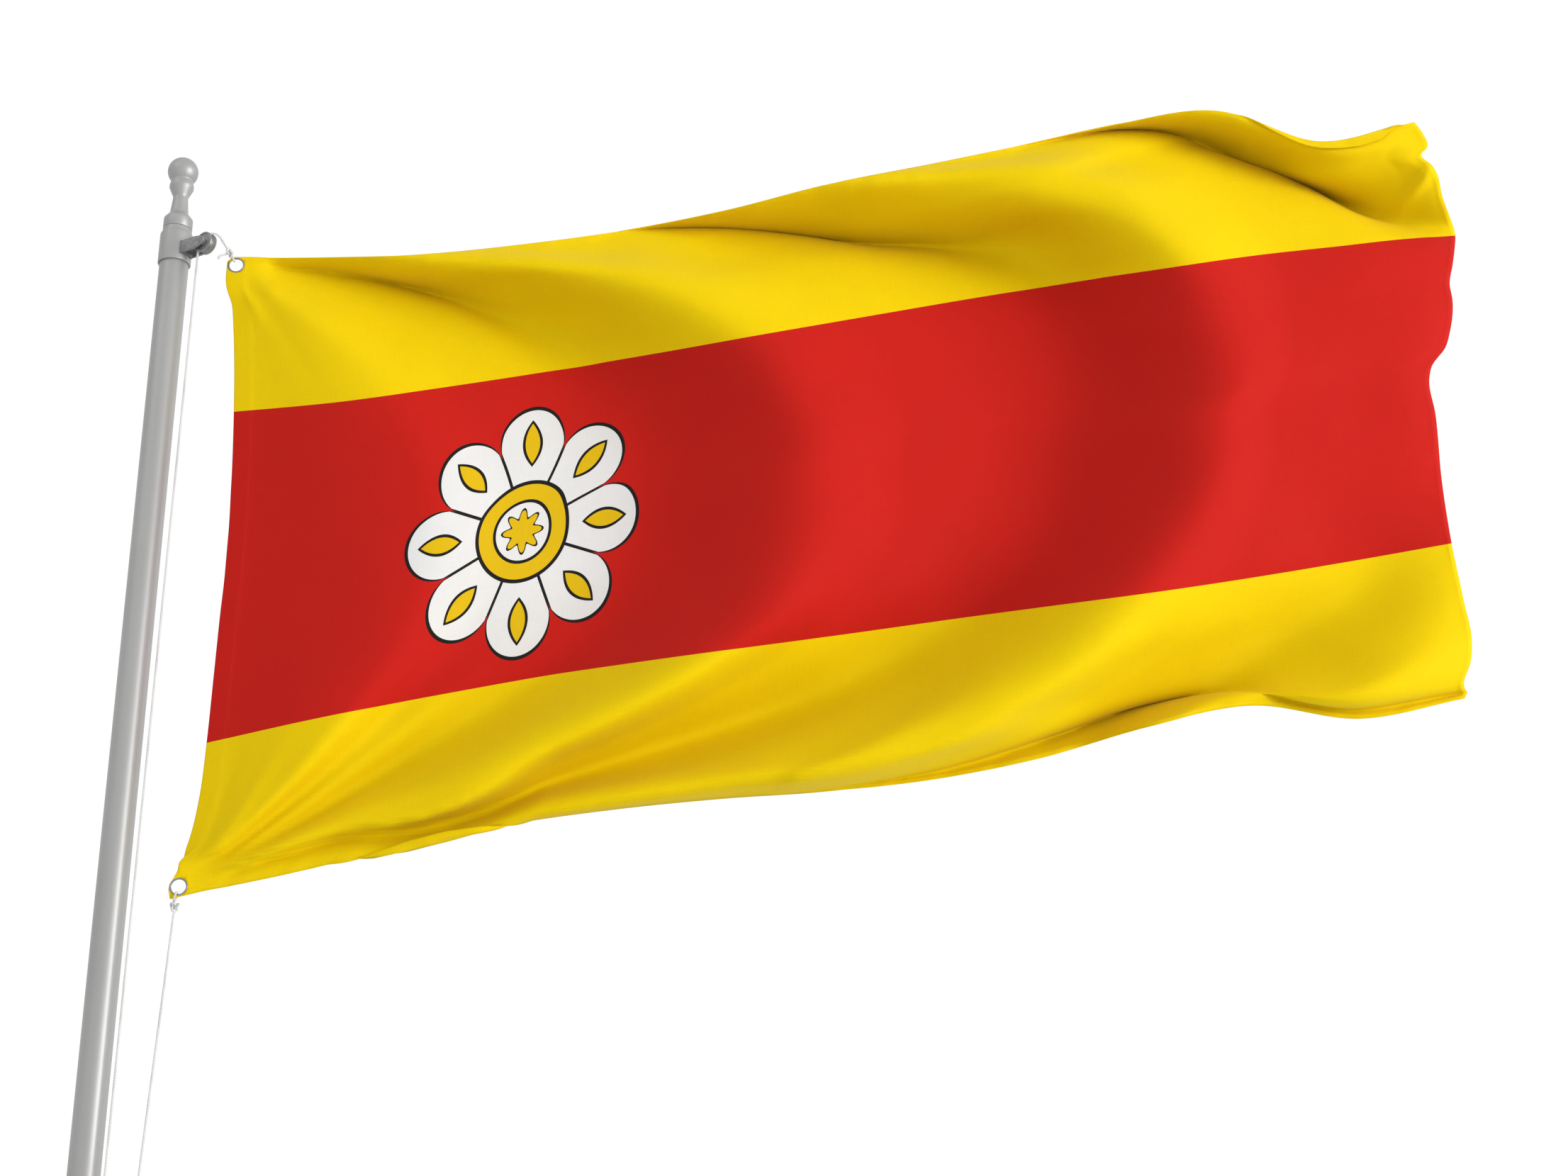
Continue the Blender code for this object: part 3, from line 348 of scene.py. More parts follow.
BOTTOM_PLEATS = (
    (
        PleatPoint(0.28, 1.220, 0.000, 0.010, 0.000),
        PleatPoint(0.36, 1.195, 0.006, 0.012, 0.006),
        PleatPoint(0.46, 1.180, 0.015, 0.014, 0.012),
        PleatPoint(0.56, 1.175, 0.020, 0.016, 0.014),
        PleatPoint(0.68, 1.190, 0.006, 0.015, 0.004),
        PleatPoint(0.76, 1.210, 0.000, 0.015, 0.000),
    ),
    (
        PleatPoint(1.00, 1.220, 0.000, 0.012, 0.000),
        PleatPoint(1.09, 1.200, 0.006, 0.012, 0.004),
        PleatPoint(1.25, 1.185, 0.016, 0.016, 0.014),
        PleatPoint(1.45, 1.170, 0.022, 0.020, 0.020),
        PleatPoint(1.63, 1.150, 0.028, 0.024, 0.026),
        PleatPoint(1.77, 1.135, 0.040, 0.030, 0.034),
        PleatPoint(1.90, 1.140, 0.045, 0.034, 0.036),
        PleatPoint(2.10, 1.165, 0.035, 0.026, 0.032),
        PleatPoint(2.30, 1.170, 0.030, 0.022, 0.026),
        PleatPoint(2.45, 1.180, 0.024, 0.020, 0.020),
    ),
)

FOLD_LINES = (
    (HOIST_LINE, False),
    (RIDGE_ONE, True),
    (VALLEY_ONE, False),
    (RIDGE_TWO, True),
    (VALLEY_TWO, False),
    (RIDGE_THREE, True),
    (VALLEY_THREE, False),
    (RIDGE_FOUR, False),
    (FLY_LINE, False),
)


# Reading the tables

def column(rows: Sequence[object], name: str) -> Array:
    """One named column of a table.

    Args:
        rows: The table's rows.
        name: The column's name.

    Returns:
        The column as an array.
    """
    return np.array([getattr(row, name) for row in rows], float)


def hermite(t: Array, span: Array, start: Array, end: Array, start_slope: Array, end_slope: Array) -> Array:
    """Cubic between two values with given slopes.

    Args:
        t: Share of the way, 0 to 1.
        span: Length of the way.
        start: Value at 0.
        end: Value at 1.
        start_slope: Slope at 0.
        end_slope: Slope at 1.

    Returns:
        The values at t.
    """
    return ((2 * t**3 - 3 * t**2 + 1) * start + (t**3 - 2 * t**2 + t) * span * start_slope
            + (3 * t**2 - 2 * t**3) * end + (t**3 - t**2) * span * end_slope)


def read(rows: Sequence[object], key: str, name: str, at: Array) -> Array:
    """Smooth reading of a table's column.

    Args:
        rows: The table's rows.
        key: The column that `at` is measured on.
        name: The column to read.
        at: Where to read it.

    Returns:
        The column's value at each place.
    """
    keys = column(rows, key)
    values = column(rows, name)
    at = np.clip(at, keys[0], keys[-1])
    cell = np.clip(np.searchsorted(keys, at, side="right") - 1, 0, len(keys) - 2)
    slopes = np.gradient(values, keys)
    span = keys[cell + 1] - keys[cell]
    return hermite((at - keys[cell]) / span, span, values[cell], values[cell + 1],
                   slopes[cell], slopes[cell + 1])


def ease_through(knots: Sequence[Array], heights: Sequence[Array], at: Array) -> Array:
    """Smooth curve through a row of knots for each point, with no overshoot between them.

    Args:
        knots: Positions of the knots, each an array over the points.
        heights: Heights of the knots, each an array over the points.
        at: Position of each point.

    Returns:
        The height at each point.
    """
    least = 1e-4
    spans = [np.maximum(knots[k + 1] - knots[k], least) for k in range(len(knots) - 1)]
    rates = [(heights[k + 1] - heights[k]) / spans[k] for k in range(len(spans))]
    slopes = [rates[0]]
    for k in range(1, len(spans)):
        same_way = rates[k - 1] * rates[k] > 0
        before = np.where(same_way, rates[k - 1], 1.0)
        after = np.where(same_way, rates[k], 1.0)
        near, far = 2 * spans[k] + spans[k - 1], spans[k] + 2 * spans[k - 1]
        slopes.append(np.where(same_way, (near + far) / (near / before + far / after), 0.0))
    slopes.append(rates[-1])
    result = heights[0] + slopes[0] * (at - knots[0])
    for k, span in enumerate(spans):
        t = np.clip((at - knots[k]) / span, 0.0, 1.0)
        piece = hermite(t, span, heights[k], heights[k + 1], slopes[k], slopes[k + 1])
        result = np.where(at >= knots[k], piece, result)
    return result


def swell(q: Array) -> Array:
    """Bell curve of height 1.

    Args:
        q: Distance from its middle, in half widths.

    Returns:
        Its height.
    """
    return np.exp(-q**2)


RISE_STEEPNESS = 1.6


def rise(q: Array) -> Array:
    """Smooth step from 0 to 1.

    Args:
        q: Distance from its middle, in half widths.

    Returns:
        Its height.
    """
    return 0.5 * (1.0 + np.tanh(RISE_STEEPNESS * q))


def ease(low: float, high: float, at: Array) -> Array:
    """Soft ramp from 0 to 1 between two values.

    Args:
        low: Where it leaves 0.
        high: Where it reaches 1.
        at: Where to read it.

    Returns:
        Its height.
    """
    t = np.clip((at - low) / (high - low), 0.0, 1.0)
    return t * t * (3.0 - 2.0 * t)


@dataclass(frozen=True)
class Crease:
    """A crease that runs from a point in a straight ray and dies away.

    Its angle, in degrees, turns from the way of the fly to the way of the drop.
    """
    fly: float
    drop: float
    angle: float
    reach: float
    depth: float
    half_width: float
    start_width: float = 0.45
    width_gain: float = 1.1
    fade_in: tuple[float, float] = (0.02, 0.07)
    fade_out_from: float = 0.35

    def depth_at(self, fly: Array, drop: Array) -> Array:
        """Depth of the crease.

        Args:
            fly: Distances from the hoist.
            drop: Distances below the top edge.

        Returns:
            Extra depth of each point.
        """
        across, down, ray = fly - self.fly, drop - self.drop, radians(self.angle)
        along = across * cos(ray) + down * sin(ray)
        aside = down * cos(ray) - across * sin(ray)
        width = self.half_width * (self.start_width + self.width_gain * np.clip(along / self.reach, 0.0, 1.0))
        fade = ease(*self.fade_in, along) * (1.0 - ease(self.fade_out_from * self.reach, self.reach, along))
        return self.depth * swell(aside / width) * fade


@dataclass(frozen=True)
class Wave:
    """A train of small waves across the cloth, which may wander as it goes down."""
    over_fly: float
    over_drop: float
    length: float
    share: float
    phase: float = 0.0
    wander: float = 0.0
    wander_length: float = 0.8

    def height(self, fly: Array, drop: Array) -> Array:
        """Height of the waves.

        Args:
            fly: Distances from the hoist.
            drop: Distances below the top edge.

        Returns:
            Height at each point, as a share of the whole.
        """
        run = tau * (self.over_fly * fly + self.over_drop * drop) / self.length
        return self.share * np.sin(run + self.phase + self.wander * np.sin(tau * drop / self.wander_length))


LOWER_DROP = CLOTH_HOIST - EYELET_INSET
CREASES = (
    Crease(EYELET_INSET, EYELET_INSET, 8.0, 0.34, -0.0050, 0.010),
    Crease(EYELET_INSET, EYELET_INSET, 24.0, 0.40, 0.0026, 0.016),
    Crease(EYELET_INSET, EYELET_INSET, 42.0, 0.42, -0.0024, 0.018),
    Crease(EYELET_INSET, EYELET_INSET, 60.0, 0.40, 0.0020, 0.016),
    Crease(EYELET_INSET, EYELET_INSET, 74.0, 0.16, -0.0040, 0.006),
    Crease(EYELET_INSET, LOWER_DROP, -11.0, 0.95, 0.0080, 0.020),
    Crease(EYELET_INSET, LOWER_DROP, -17.0, 1.00, -0.0110, 0.024),
    Crease(EYELET_INSET, LOWER_DROP, -24.5, 0.85, 0.0105, 0.022),
    Crease(EYELET_INSET, LOWER_DROP, -32.0, 0.85, -0.0120, 0.026),
    Crease(EYELET_INSET, LOWER_DROP, -40.5, 0.75, 0.0115, 0.024),
    Crease(EYELET_INSET, LOWER_DROP, -49.0, 0.60, -0.0050, 0.020),
    Crease(EYELET_INSET, LOWER_DROP, -64.0, 0.40, -0.0034, 0.014),
    Crease(EYELET_INSET, LOWER_DROP, -80.0, 0.36, 0.0024, 0.012),
    Crease(1.080, 1.190, -23.5, 0.700, -0.0120, 0.032),
    Crease(2.430, 0.080, 135.0, 0.260, -0.0100, 0.013),
)

PUCKERS = (
    Wave(1.0, 0.7, 0.083, 0.5),
    Wave(1.0, 0.7, 0.047, 0.3, 1.3),
)

RIPPLES = (
    Wave(0.9, 0.35, 0.31, 1.0, 0.0, 0.6),
    Wave(0.8, -0.5, 0.19, 0.6, 2.0),
)


@dataclass(frozen=True)
class ClothShape:
    """The flying cloth as a surface: fly and drop distances in, places in space out."""
    eye: tuple[float, float, float] = tuple(EYE)
    eyelets: tuple[tuple[Vector, float, float, bool], ...] = (
        (UPPER_EYELET, EYELET_INSET, 0.0, True),
        (LOWER_EYELET, CLOTH_HOIST - EYELET_INSET, LOWER_CORNER_TURN, False),
    )
    ear_reach: float = 0.0148
    ear_radius: float = 0.0013
    top_curl: tuple[tuple[float, float], ...] = (
        (2.03, 0.000), (2.10, 0.012), (2.17, 0.018), (2.23, 0.021),
        (2.29, 0.027), (2.33, 0.025), (2.375, 0.000),
    )
    bottom_curl: tuple[tuple[float, float], ...] = (
        (0.29, 0.000), (0.37, 0.012), (0.43, 0.019), (0.50, 0.021), (0.57, 0.016), (0.66, 0.000),
    )
    curl_radius: float = 0.0036
    curl_slope: float = 0.42
    curl_fade: float = 0.16
    corner_lean: float = 0.75
    corner_margin: float = 0.004
    corner_width: float = 0.021
    hollow_shift: float = 0.3
    pucker_height: float = 0.0011
    pucker_reach: float = 0.030
    ripple_height: float = 0.0012
    ripple_start: tuple[float, float] = (0.05, 0.30)

    def layout(self, fly: Array, drop: Array) -> tuple[Array, Array]:
        """Where the cloth lies as seen from the front, before its folds.

        Args:
            fly: Distances from the hoist.
            drop: Distances below the top edge.

        Returns:
            X and Z of each point.
        """
        share = drop / CLOTH_HOIST
        height = np.zeros_like(share)
        for name, own in zip(("top", "upper_seam", "lower_seam", "bottom"), SEAM_SHARES):
            weight = np.ones_like(share)
            for other in SEAM_SHARES:
                if other != own:
                    weight = weight * (share - other) / (own - other)
            height = height + weight * read(STATIONS, "fly", name, fly)
        hoist_x = read(EDGES, "share", "hoist_x", share)
        fly_x = read(EDGES, "share", "fly_x", share)
        return hoist_x + (fly_x - hoist_x) * fly / CLOTH_FLY, height

    def folds(self, fly: Array, drop: Array) -> Array:
        """Depth of the broad folds, which arch from the upper eyelet round to the lower one.

        Args:
            fly: Distances from the hoist.
            drop: Distances below the top edge.

        Returns:
            Depth of each point; minus is toward -Y.
        """
        places = [read(rows, "drop", "fly", drop) for rows, _ in FOLD_LINES]
        depths = [read(rows, "drop", "depth", drop) for rows, _ in FOLD_LINES]
        knots, heights = [], []
        for k, (_, is_main_ridge) in enumerate(FOLD_LINES):
            knots.append(places[k])
            heights.append(depths[k])
            if is_main_ridge:
                knots.append(places[k] + SHOULDER_WAY * (places[k + 1] - places[k]))
                heights.append(depths[k] + SHOULDER_FALL * (depths[k + 1] - depths[k]))
        return ease_through(knots, heights, fly)

    def pleat(self, rows: Sequence[PleatPoint], fly: Array, drop: Array,
              edge_drop: float) -> tuple[Array, Array, Array]:
        """One pleat: its hollow, how far it slides the cloth, and the slide left at the edge.

        Args:
            rows: The pleat's table.
            fly: Distances from the hoist.
            drop: Distances below the top edge.
            edge_drop: Drop of the edge that the pleat runs into.

        Returns:
            Hollow, slide and slide at the edge of each point.
        """
        place = read(rows, "fly", "drop", fly)
        depth, half_width, lap = (read(rows, "fly", name, fly) for name in ("depth", "half_width", "lap"))
        tilts = np.gradient(column(rows, "drop"), column(rows, "fly"))
        stretch = np.sqrt(1.0 + np.interp(fly, column(rows, "fly"), tilts)**2)
        toward_edge = 1.0 if edge_drop == 0.0 else -1.0
        live = fly > rows[0].fly
        beyond = toward_edge * (place - drop) / stretch / half_width
        at_edge = toward_edge * (place - edge_drop) / stretch / half_width
        hollow = depth * swell(beyond - self.hollow_shift) * live
        return hollow, lap * rise(beyond) * live, lap * rise(at_edge) * live

    def relief(self, fly: Array, drop: Array) -> Array:
        """Small creases: rays from the eyelets, puckered hems and soft ripples.

        Args:
            fly: Distances from the hoist.
            drop: Distances below the top edge.

        Returns:
            Extra depth of each point.
        """
        depth = np.zeros_like(fly)
        for crease in CREASES:
            depth = depth + crease.depth_at(fly, drop)
        edge = np.minimum(np.minimum(drop, CLOTH_HOIST - drop), CLOTH_FLY - fly)
        pucker, ripple = (sum(wave.height(fly, drop) for wave in waves) for waves in (PUCKERS, RIPPLES))
        depth = depth + self.pucker_height * pucker * swell(edge / self.pucker_reach)
        return depth + self.ripple_height * ripple * ease(*self.ripple_start, fly)

    def curl(self, rows: Sequence[tuple[float, float]], fly: Array, inset: Array) -> tuple[Array, Array]:
        """An edge rolled toward the viewer, with its silhouette kept where it was.

        Args:
            rows: Distances from the hoist with the widths that are rolled over there.
            fly: Distances from the hoist.
            inset: Distances in from the edge.

        Returns:
            Extra reach outward and extra depth of each point.
        """
        places, widths = zip(*rows)
        width = np.interp(fly, places, widths)
        past = np.maximum(width - inset, 0.0)
        bend = np.minimum(past / self.curl_radius, pi)
        rest = np.maximum(past - pi * self.curl_radius, 0.0)
        reach = self.curl_radius * np.sin(bend) - rest - past + width * swell(inset / self.curl_fade)
        return reach, -(self.curl_radius * (1.0 - np.cos(bend)) + self.curl_slope * rest)

    def points(self, fly: Array, drop: Array) -> Array:
        """Places in space of points of the cloth.

        Args:
            fly: Distances from the hoist.
            drop: Distances below the top edge.

        Returns:
            Array of points, with X, Y and Z on its last axis.
        """
        x, z = self.layout(fly, drop)
        y = self.folds(fly, drop) + self.relief(fly, drop)
        share = drop / CLOTH_HOIST
        top_pin = np.clip(1.0 - share / SEAM_SHARES[1], 0.0, 1.0)**2
        bottom_pin = np.clip(1.0 - (1.0 - share) / SEAM_SHARES[1], 0.0, 1.0)**2
        for rows in TOP_PLEATS:
            hollow, slide, edge_slide = self.pleat(rows, fly, drop, 0.0)
            y = y + hollow
            z = z - slide + edge_slide * top_pin
        for rows in BOTTOM_PLEATS:
            hollow, slide, edge_slide = self.pleat(rows, fly, drop, CLOTH_HOIST)
            y = y + hollow
            z = z + slide - edge_slide * bottom_pin
        raised, rolled = self.curl(self.top_curl, fly, drop)
        lowered, rolled_below = self.curl(self.bottom_curl, fly, CLOTH_HOIST - drop)
        z, y = z + raised - lowered, y + rolled + rolled_below
        eye = np.array(self.eye)
        front = np.stack([x, np.zeros_like(x), z], -1)
        places = eye + (front - eye) * (1.0 - y / eye[1])[..., None]
        for centre, eyelet_drop, turn, has_ear in self.eyelets:
            side, rise_up = fly - EYELET_INSET, eyelet_drop - drop
            hold = (1.0 - ease(FLAT_REACH, FLAT_BLEND, np.hypot(side, rise_up)))[..., None]
            past = np.maximum((rise_up - side) / sqrt(2.0) - self.ear_reach, 0.0) * has_ear
            bend = np.minimum(past / self.ear_radius, pi)
            over = np.maximum(past - pi * self.ear_radius, 0.0)
            back = (self.ear_radius * np.sin(bend) - over - past) / sqrt(2.0)
            side, rise_up = side - back, rise_up + back
            ahead = -self.ear_radius * (1.0 - np.cos(bend))
            lean = 0.0 if has_ear else self.corner_lean
            outward = np.clip((self.corner_margin - side) / self.corner_width, 0.0, 1.0)
            lean = lean * np.maximum(rise_up - self.corner_margin, 0.0) * outward
            flat = np.stack([centre.x + side * cos(turn) - rise_up * sin(turn) + lean, ahead,
                             centre.z + side * sin(turn) + rise_up * cos(turn)], -1)
            places = places * (1.0 - hold) + flat * hold
        return places

    def normals(self, fly: Array, drop: Array, step: float = 0.003) -> Array:
        """Unit normals of the cloth, facing the viewer.

        Args:
            fly: Distances from the hoist.
            drop: Distances below the top edge.
            step: Spacing of the differences.

        Returns:
            Array of normals, with X, Y and Z on its last axis.
        """
        along = self.points(fly + step, drop) - self.points(fly - step, drop)
        down = self.points(fly, drop + step) - self.points(fly, drop - step)
        normal = np.cross(down, along)
        return normal / np.linalg.norm(normal, axis=-1, keepdims=True)


# Node trees

@dataclass
class Wire:
    """An output of a node, with arithmetic that adds Math nodes."""
    graph: "Graph"
    socket: bpy.types.NodeSocket

    def figure(self, operation: str, other: Union["Wire", float, None] = None,
               clamp: bool = False) -> "Wire":
        """The value after one step of arithmetic.

        Args:
            operation: The Math node's operation.
            other: The second value, if the operation has one.
            clamp: Whether to keep the result between 0 and 1.

        Returns:
            The result.
        """
        node = self.graph.node("ShaderNodeMath", operation=operation, use_clamp=clamp)
        self.graph.feed(node.inputs[0], self)
        if other is not None:
            self.graph.feed(node.inputs[1], other)
        return Wire(self.graph, node.outputs[0])

    def __add__(self, other: Union["Wire", float]) -> "Wire":
        """Sum with another value."""
        return self.figure("ADD", other)

    def __sub__(self, other: Union["Wire", float]) -> "Wire":
        """Difference from another value."""
        return self.figure("SUBTRACT", other)

    def __mul__(self, other: Union["Wire", float]) -> "Wire":
        """Product with another value."""
        return self.figure("MULTIPLY", other)

    def __truediv__(self, other: Union["Wire", float]) -> "Wire":
        """Quotient by another value."""
        return self.figure("DIVIDE", other)

    def above(self, other: Union["Wire", float]) -> "Wire":
        """1 where this is more than the other, else 0.

        Args:
            other: What to compare with.

        Returns:
            The mask.
        """
        return self.figure("GREATER_THAN", other)

    def below(self, other: Union["Wire", float]) -> "Wire":
        """1 where this is less than the other, else 0.

        Args:
            other: What to compare with.

        Returns:
            The mask.
        """
        return self.figure("LESS_THAN", other)

    def most(self, other: Union["Wire", float]) -> "Wire":
        """The greater of two values.

        Args:
            other: The other value.

        Returns:
            The greater one.
        """
        return self.figure("MAXIMUM", other)

    def sine(self) -> "Wire":
        """Sine of the value.

        Returns:
            The sine.
        """
        return self.figure("SINE")

    def cosine(self) -> "Wire":
        """Cosine of the value.

        Returns:
            The cosine.
        """
        return self.figure("COSINE")

    def size(self) -> "Wire":
        """Absolute value.

        Returns:
            The value without its sign.
        """
        return self.figure("ABSOLUTE")

    def root(self) -> "Wire":
        """Square root.

        Returns:
            The root.
        """
        return self.figure("SQRT")

    def angle_to(self, other: "Wire") -> "Wire":
        """Angle whose tangent is this over the other.

        Args:
            other: The cosine side.

        Returns:
            The angle.
        """
        return self.figure("ARCTAN2", other)

    def ramp(self, low: float, high: float) -> "Wire":
        """0 below a value, 1 above another, and even between.

        Args:
            low: Where it leaves 0.
            high: Where it reaches 1.

        Returns:
            The ramp.
        """
        return ((self - low) * (1.0 / (high - low))).figure("ADD", 0.0, clamp=True)


@dataclass
class Graph:
    """A node tree being built."""
    tree: bpy.types.NodeTree

    def node(self, kind: str, **settings: object) -> bpy.types.Node:
        """A new node.

        Args:
            kind: Its type name.
            settings: Its properties.

        Returns:
            The node.
        """
        node = self.tree.nodes.new(kind)
        for name, value in settings.items():
            setattr(node, name, value)
        return node

    def feed(self, socket: bpy.types.NodeSocket, value: object) -> None:
        """Links a wire to an input, or sets its value.

        Args:
            socket: The input.
            value: A wire, a socket or a constant.
        """
        if isinstance(value, Wire):
            self.tree.links.new(value.socket, socket)
        elif isinstance(value, bpy.types.NodeSocket):
            self.tree.links.new(value, socket)
        else:
            socket.default_value = value

    def call(self, kind: str, output: Union[str, int] = 0, settings: Optional[dict] = None,
             **inputs: object) -> Wire:
        """A node with its inputs fed by name.

        Args:
            kind: Its type name.
            output: The output wanted.
            settings: Its properties.
            inputs: Its inputs, with _ for a space in a name.

        Returns:
            The output.
        """
        node = self.node(kind, **(settings or {}))
        for name, value in inputs.items():
            self.feed(node.inputs[name.replace("_", " ")], value)
        return Wire(self, node.outputs[output])

    def vector_math(self, operation: str, first: object, second: object = None,
                    scale: object = None) -> Wire:
        """A Vector Math node.

        Args:
            operation: Its operation.
            first: First vector.
            second: Second vector.
            scale: Factor for SCALE.

        Returns:
            Its vector.
        """
        node = self.node("ShaderNodeVectorMath", operation=operation)
        self.feed(node.inputs[0], first)
        if second is not None:
            self.feed(node.inputs[1], second)
        if scale is not None:
            self.feed(node.inputs["Scale"], scale)
        return Wire(self, node.outputs["Vector"])

    def mix(self, share: object, first: object, second: object) -> Wire:
        """A mix of two colours.

        Args:
            share: Share of the second.
            first: A colour or a wire.
            second: A colour or a wire.

        Returns:
            The mixed colour.
        """
        node = self.node("ShaderNodeMix", data_type="RGBA")
        self.feed(node.inputs[0], share)
        for index, colour in ((6, first), (7, second)):
            self.feed(node.inputs[index], (*colour, 1.0) if isinstance(colour, tuple) else colour)
        return Wire(self, node.outputs[2])


@dataclass(frozen=True)
class Grain:
    """A noise pattern: its scale, the factors on its coordinates and its detail."""
    scale: float
    stretch: Colour = (1.0, 1.0, 1.0)
    detail: float = 3.0
    roughness: float = 0.55


@dataclass
class Surface:
    """A material being built: its graph and its Principled shader."""
    material: bpy.types.Material
    graph: Graph
    shader: bpy.types.Node

    @staticmethod
    def start(name: str) -> "Surface":
        """A new material.

        Args:
            name: Its name.

        Returns:
            The surface.
        """
        material = bpy.data.materials.new(name)
        material.use_nodes = True
        graph = Graph(material.node_tree)
        return Surface(material, graph, material.node_tree.nodes["Principled BSDF"])

    def set(self, **inputs: object) -> None:
        """Feeds the shader's inputs.

        Args:
            inputs: Inputs by name, with _ for a space.
        """
        for name, value in inputs.items():
            value = (*value, 1.0) if isinstance(value, tuple) and len(value) == 3 else value
            self.graph.feed(self.shader.inputs[name.replace("_", " ")], value)

    def place(self) -> Wire:
        """Coordinates of the object, in metres.

        Returns:
            The coordinates.
        """
        return self.graph.call("ShaderNodeTexCoord", "Object")

    def noise(self, grain: Grain, at: Optional[Wire] = None) -> Wire:
        """Noise over the object.

        Args:
            grain: Its pattern.
            at: Coordinates, if not the object's.

        Returns:
            Its value.
        """
        place = self.graph.vector_math("MULTIPLY", at or self.place(), grain.stretch)
        return self.graph.call("ShaderNodeTexNoise", "Fac", Vector=place, Scale=grain.scale,
                               Detail=grain.detail, Roughness=grain.roughness)

    def bump(self, height: Wire, distance: float, strength: float = 1.0) -> None:
        """Small relief on the surface.

        Args:
            height: Its height, 0 to 1.
            distance: Height of 1, in metres.
            strength: Its strength.
        """
        self.set(Normal=self.graph.call("ShaderNodeBump", Height=height, Distance=distance,
                                        Strength=strength))


@dataclass(frozen=True)
class Finish:
    """A named surface finish and the record slot that it stands for."""
    name: str
    slot: Optional[Slot]

    def build(self) -> bpy.types.Material:
        """The finish as a material.

        Returns:
            The material.
        """
        raise NotImplementedError


@dataclass(frozen=True)
class PaintedMetal(Finish):
    """Satin paint on the pole, with faint runs and dust."""
    colour: Colour = (0.35, 0.35, 0.345)
    dusty: Colour = (0.27, 0.268, 0.262)
    runs: Grain = Grain(26.0, (1.0, 1.0, 0.035), 4.0)
    dust: Grain = Grain(9.0, (1.0, 1.0, 0.4), 5.0)
    pores: Grain = Grain(420.0, (1.0, 1.0, 0.2))
    runs_shown: tuple[float, float] = (0.42, 0.74)
    dust_shown: tuple[float, float] = (0.5, 0.8)
    runs_share: float = 0.55
    dust_share: float = 0.3
    metallic: float = 0.45
    roughness: float = 0.42
    dust_roughness: float = 0.08
    pore_depth: float = 0.000006
    pore_strength: float = 0.3

    def build(self) -> bpy.types.Material:
        """The finish as a material.

        Returns:
            The material.
        """
        surface = Surface.start(self.name)
        runs = surface.noise(self.runs)
        dust = surface.noise(self.dust)
        share = runs.ramp(*self.runs_shown) * self.runs_share + dust.ramp(*self.dust_shown) * self.dust_share
        surface.set(Base_Color=surface.graph.mix(share, self.colour, self.dusty), Metallic=self.metallic,
                    Roughness=dust * self.dust_roughness + self.roughness)
        surface.bump(surface.noise(self.pores), self.pore_depth, self.pore_strength)
        return surface.material


@dataclass(frozen=True)
class DullZinc(Finish):
    """Grey zinc on the bracket and the sheave, worn by the rope."""
    colour: Colour = (0.19, 0.19, 0.188)
    worn: Colour = (0.40, 0.40, 0.41)
    spangle_scale: float = 240.0
    patches: Grain = Grain(90.0, detail=5.0)
    patches_shown: tuple[float, float] = (0.45, 0.75)
    spangle_share: float = 0.35
    patch_share: float = 0.5
    metallic: float = 0.75
    roughness: float = 0.32
    patch_roughness: float = 0.3
    patch_depth: float = 0.00012
    patch_strength: float = 0.5

    def build(self) -> bpy.types.Material:
        """The finish as a material.

        Returns:
            The material.
        """
        surface = Surface.start(self.name)
        spangle = surface.graph.call("ShaderNodeTexVoronoi", "Distance", Vector=surface.place(),
                                     Scale=self.spangle_scale)
        patches = surface.noise(self.patches)
        share = spangle * self.spangle_share + patches.ramp(*self.patches_shown) * self.patch_share
        surface.set(Base_Color=surface.graph.mix(share, self.colour, self.worn), Metallic=self.metallic,
                    Roughness=patches * self.patch_roughness + self.roughness)
        surface.bump(patches, self.patch_depth, self.patch_strength)
        return surface.material


@dataclass(frozen=True)
class PressedSteel(Finish):
    """Satin steel of the eyelets."""
    colour: Colour = (0.30, 0.31, 0.33)
    marked: Colour = (0.16, 0.165, 0.18)
    marks: Grain = Grain(900.0, (1.0, 0.2, 1.0), 3.0)
    mark_share: float = 0.5
    roughness: float = 0.24
    mark_roughness: float = 0.2
    mark_depth: float = 0.00003
    mark_strength: float = 0.4

    def build(self) -> bpy.types.Material:
        """The finish as a material.

        Returns:
            The material.
        """
        surface = Surface.start(self.name)
        marks = surface.noise(self.marks)
        surface.set(Base_Color=surface.graph.mix(marks * self.mark_share, self.colour, self.marked),
                    Metallic=1.0, Roughness=marks * self.mark_roughness + self.roughness)
        surface.bump(marks, self.mark_depth, self.mark_strength)
        return surface.material


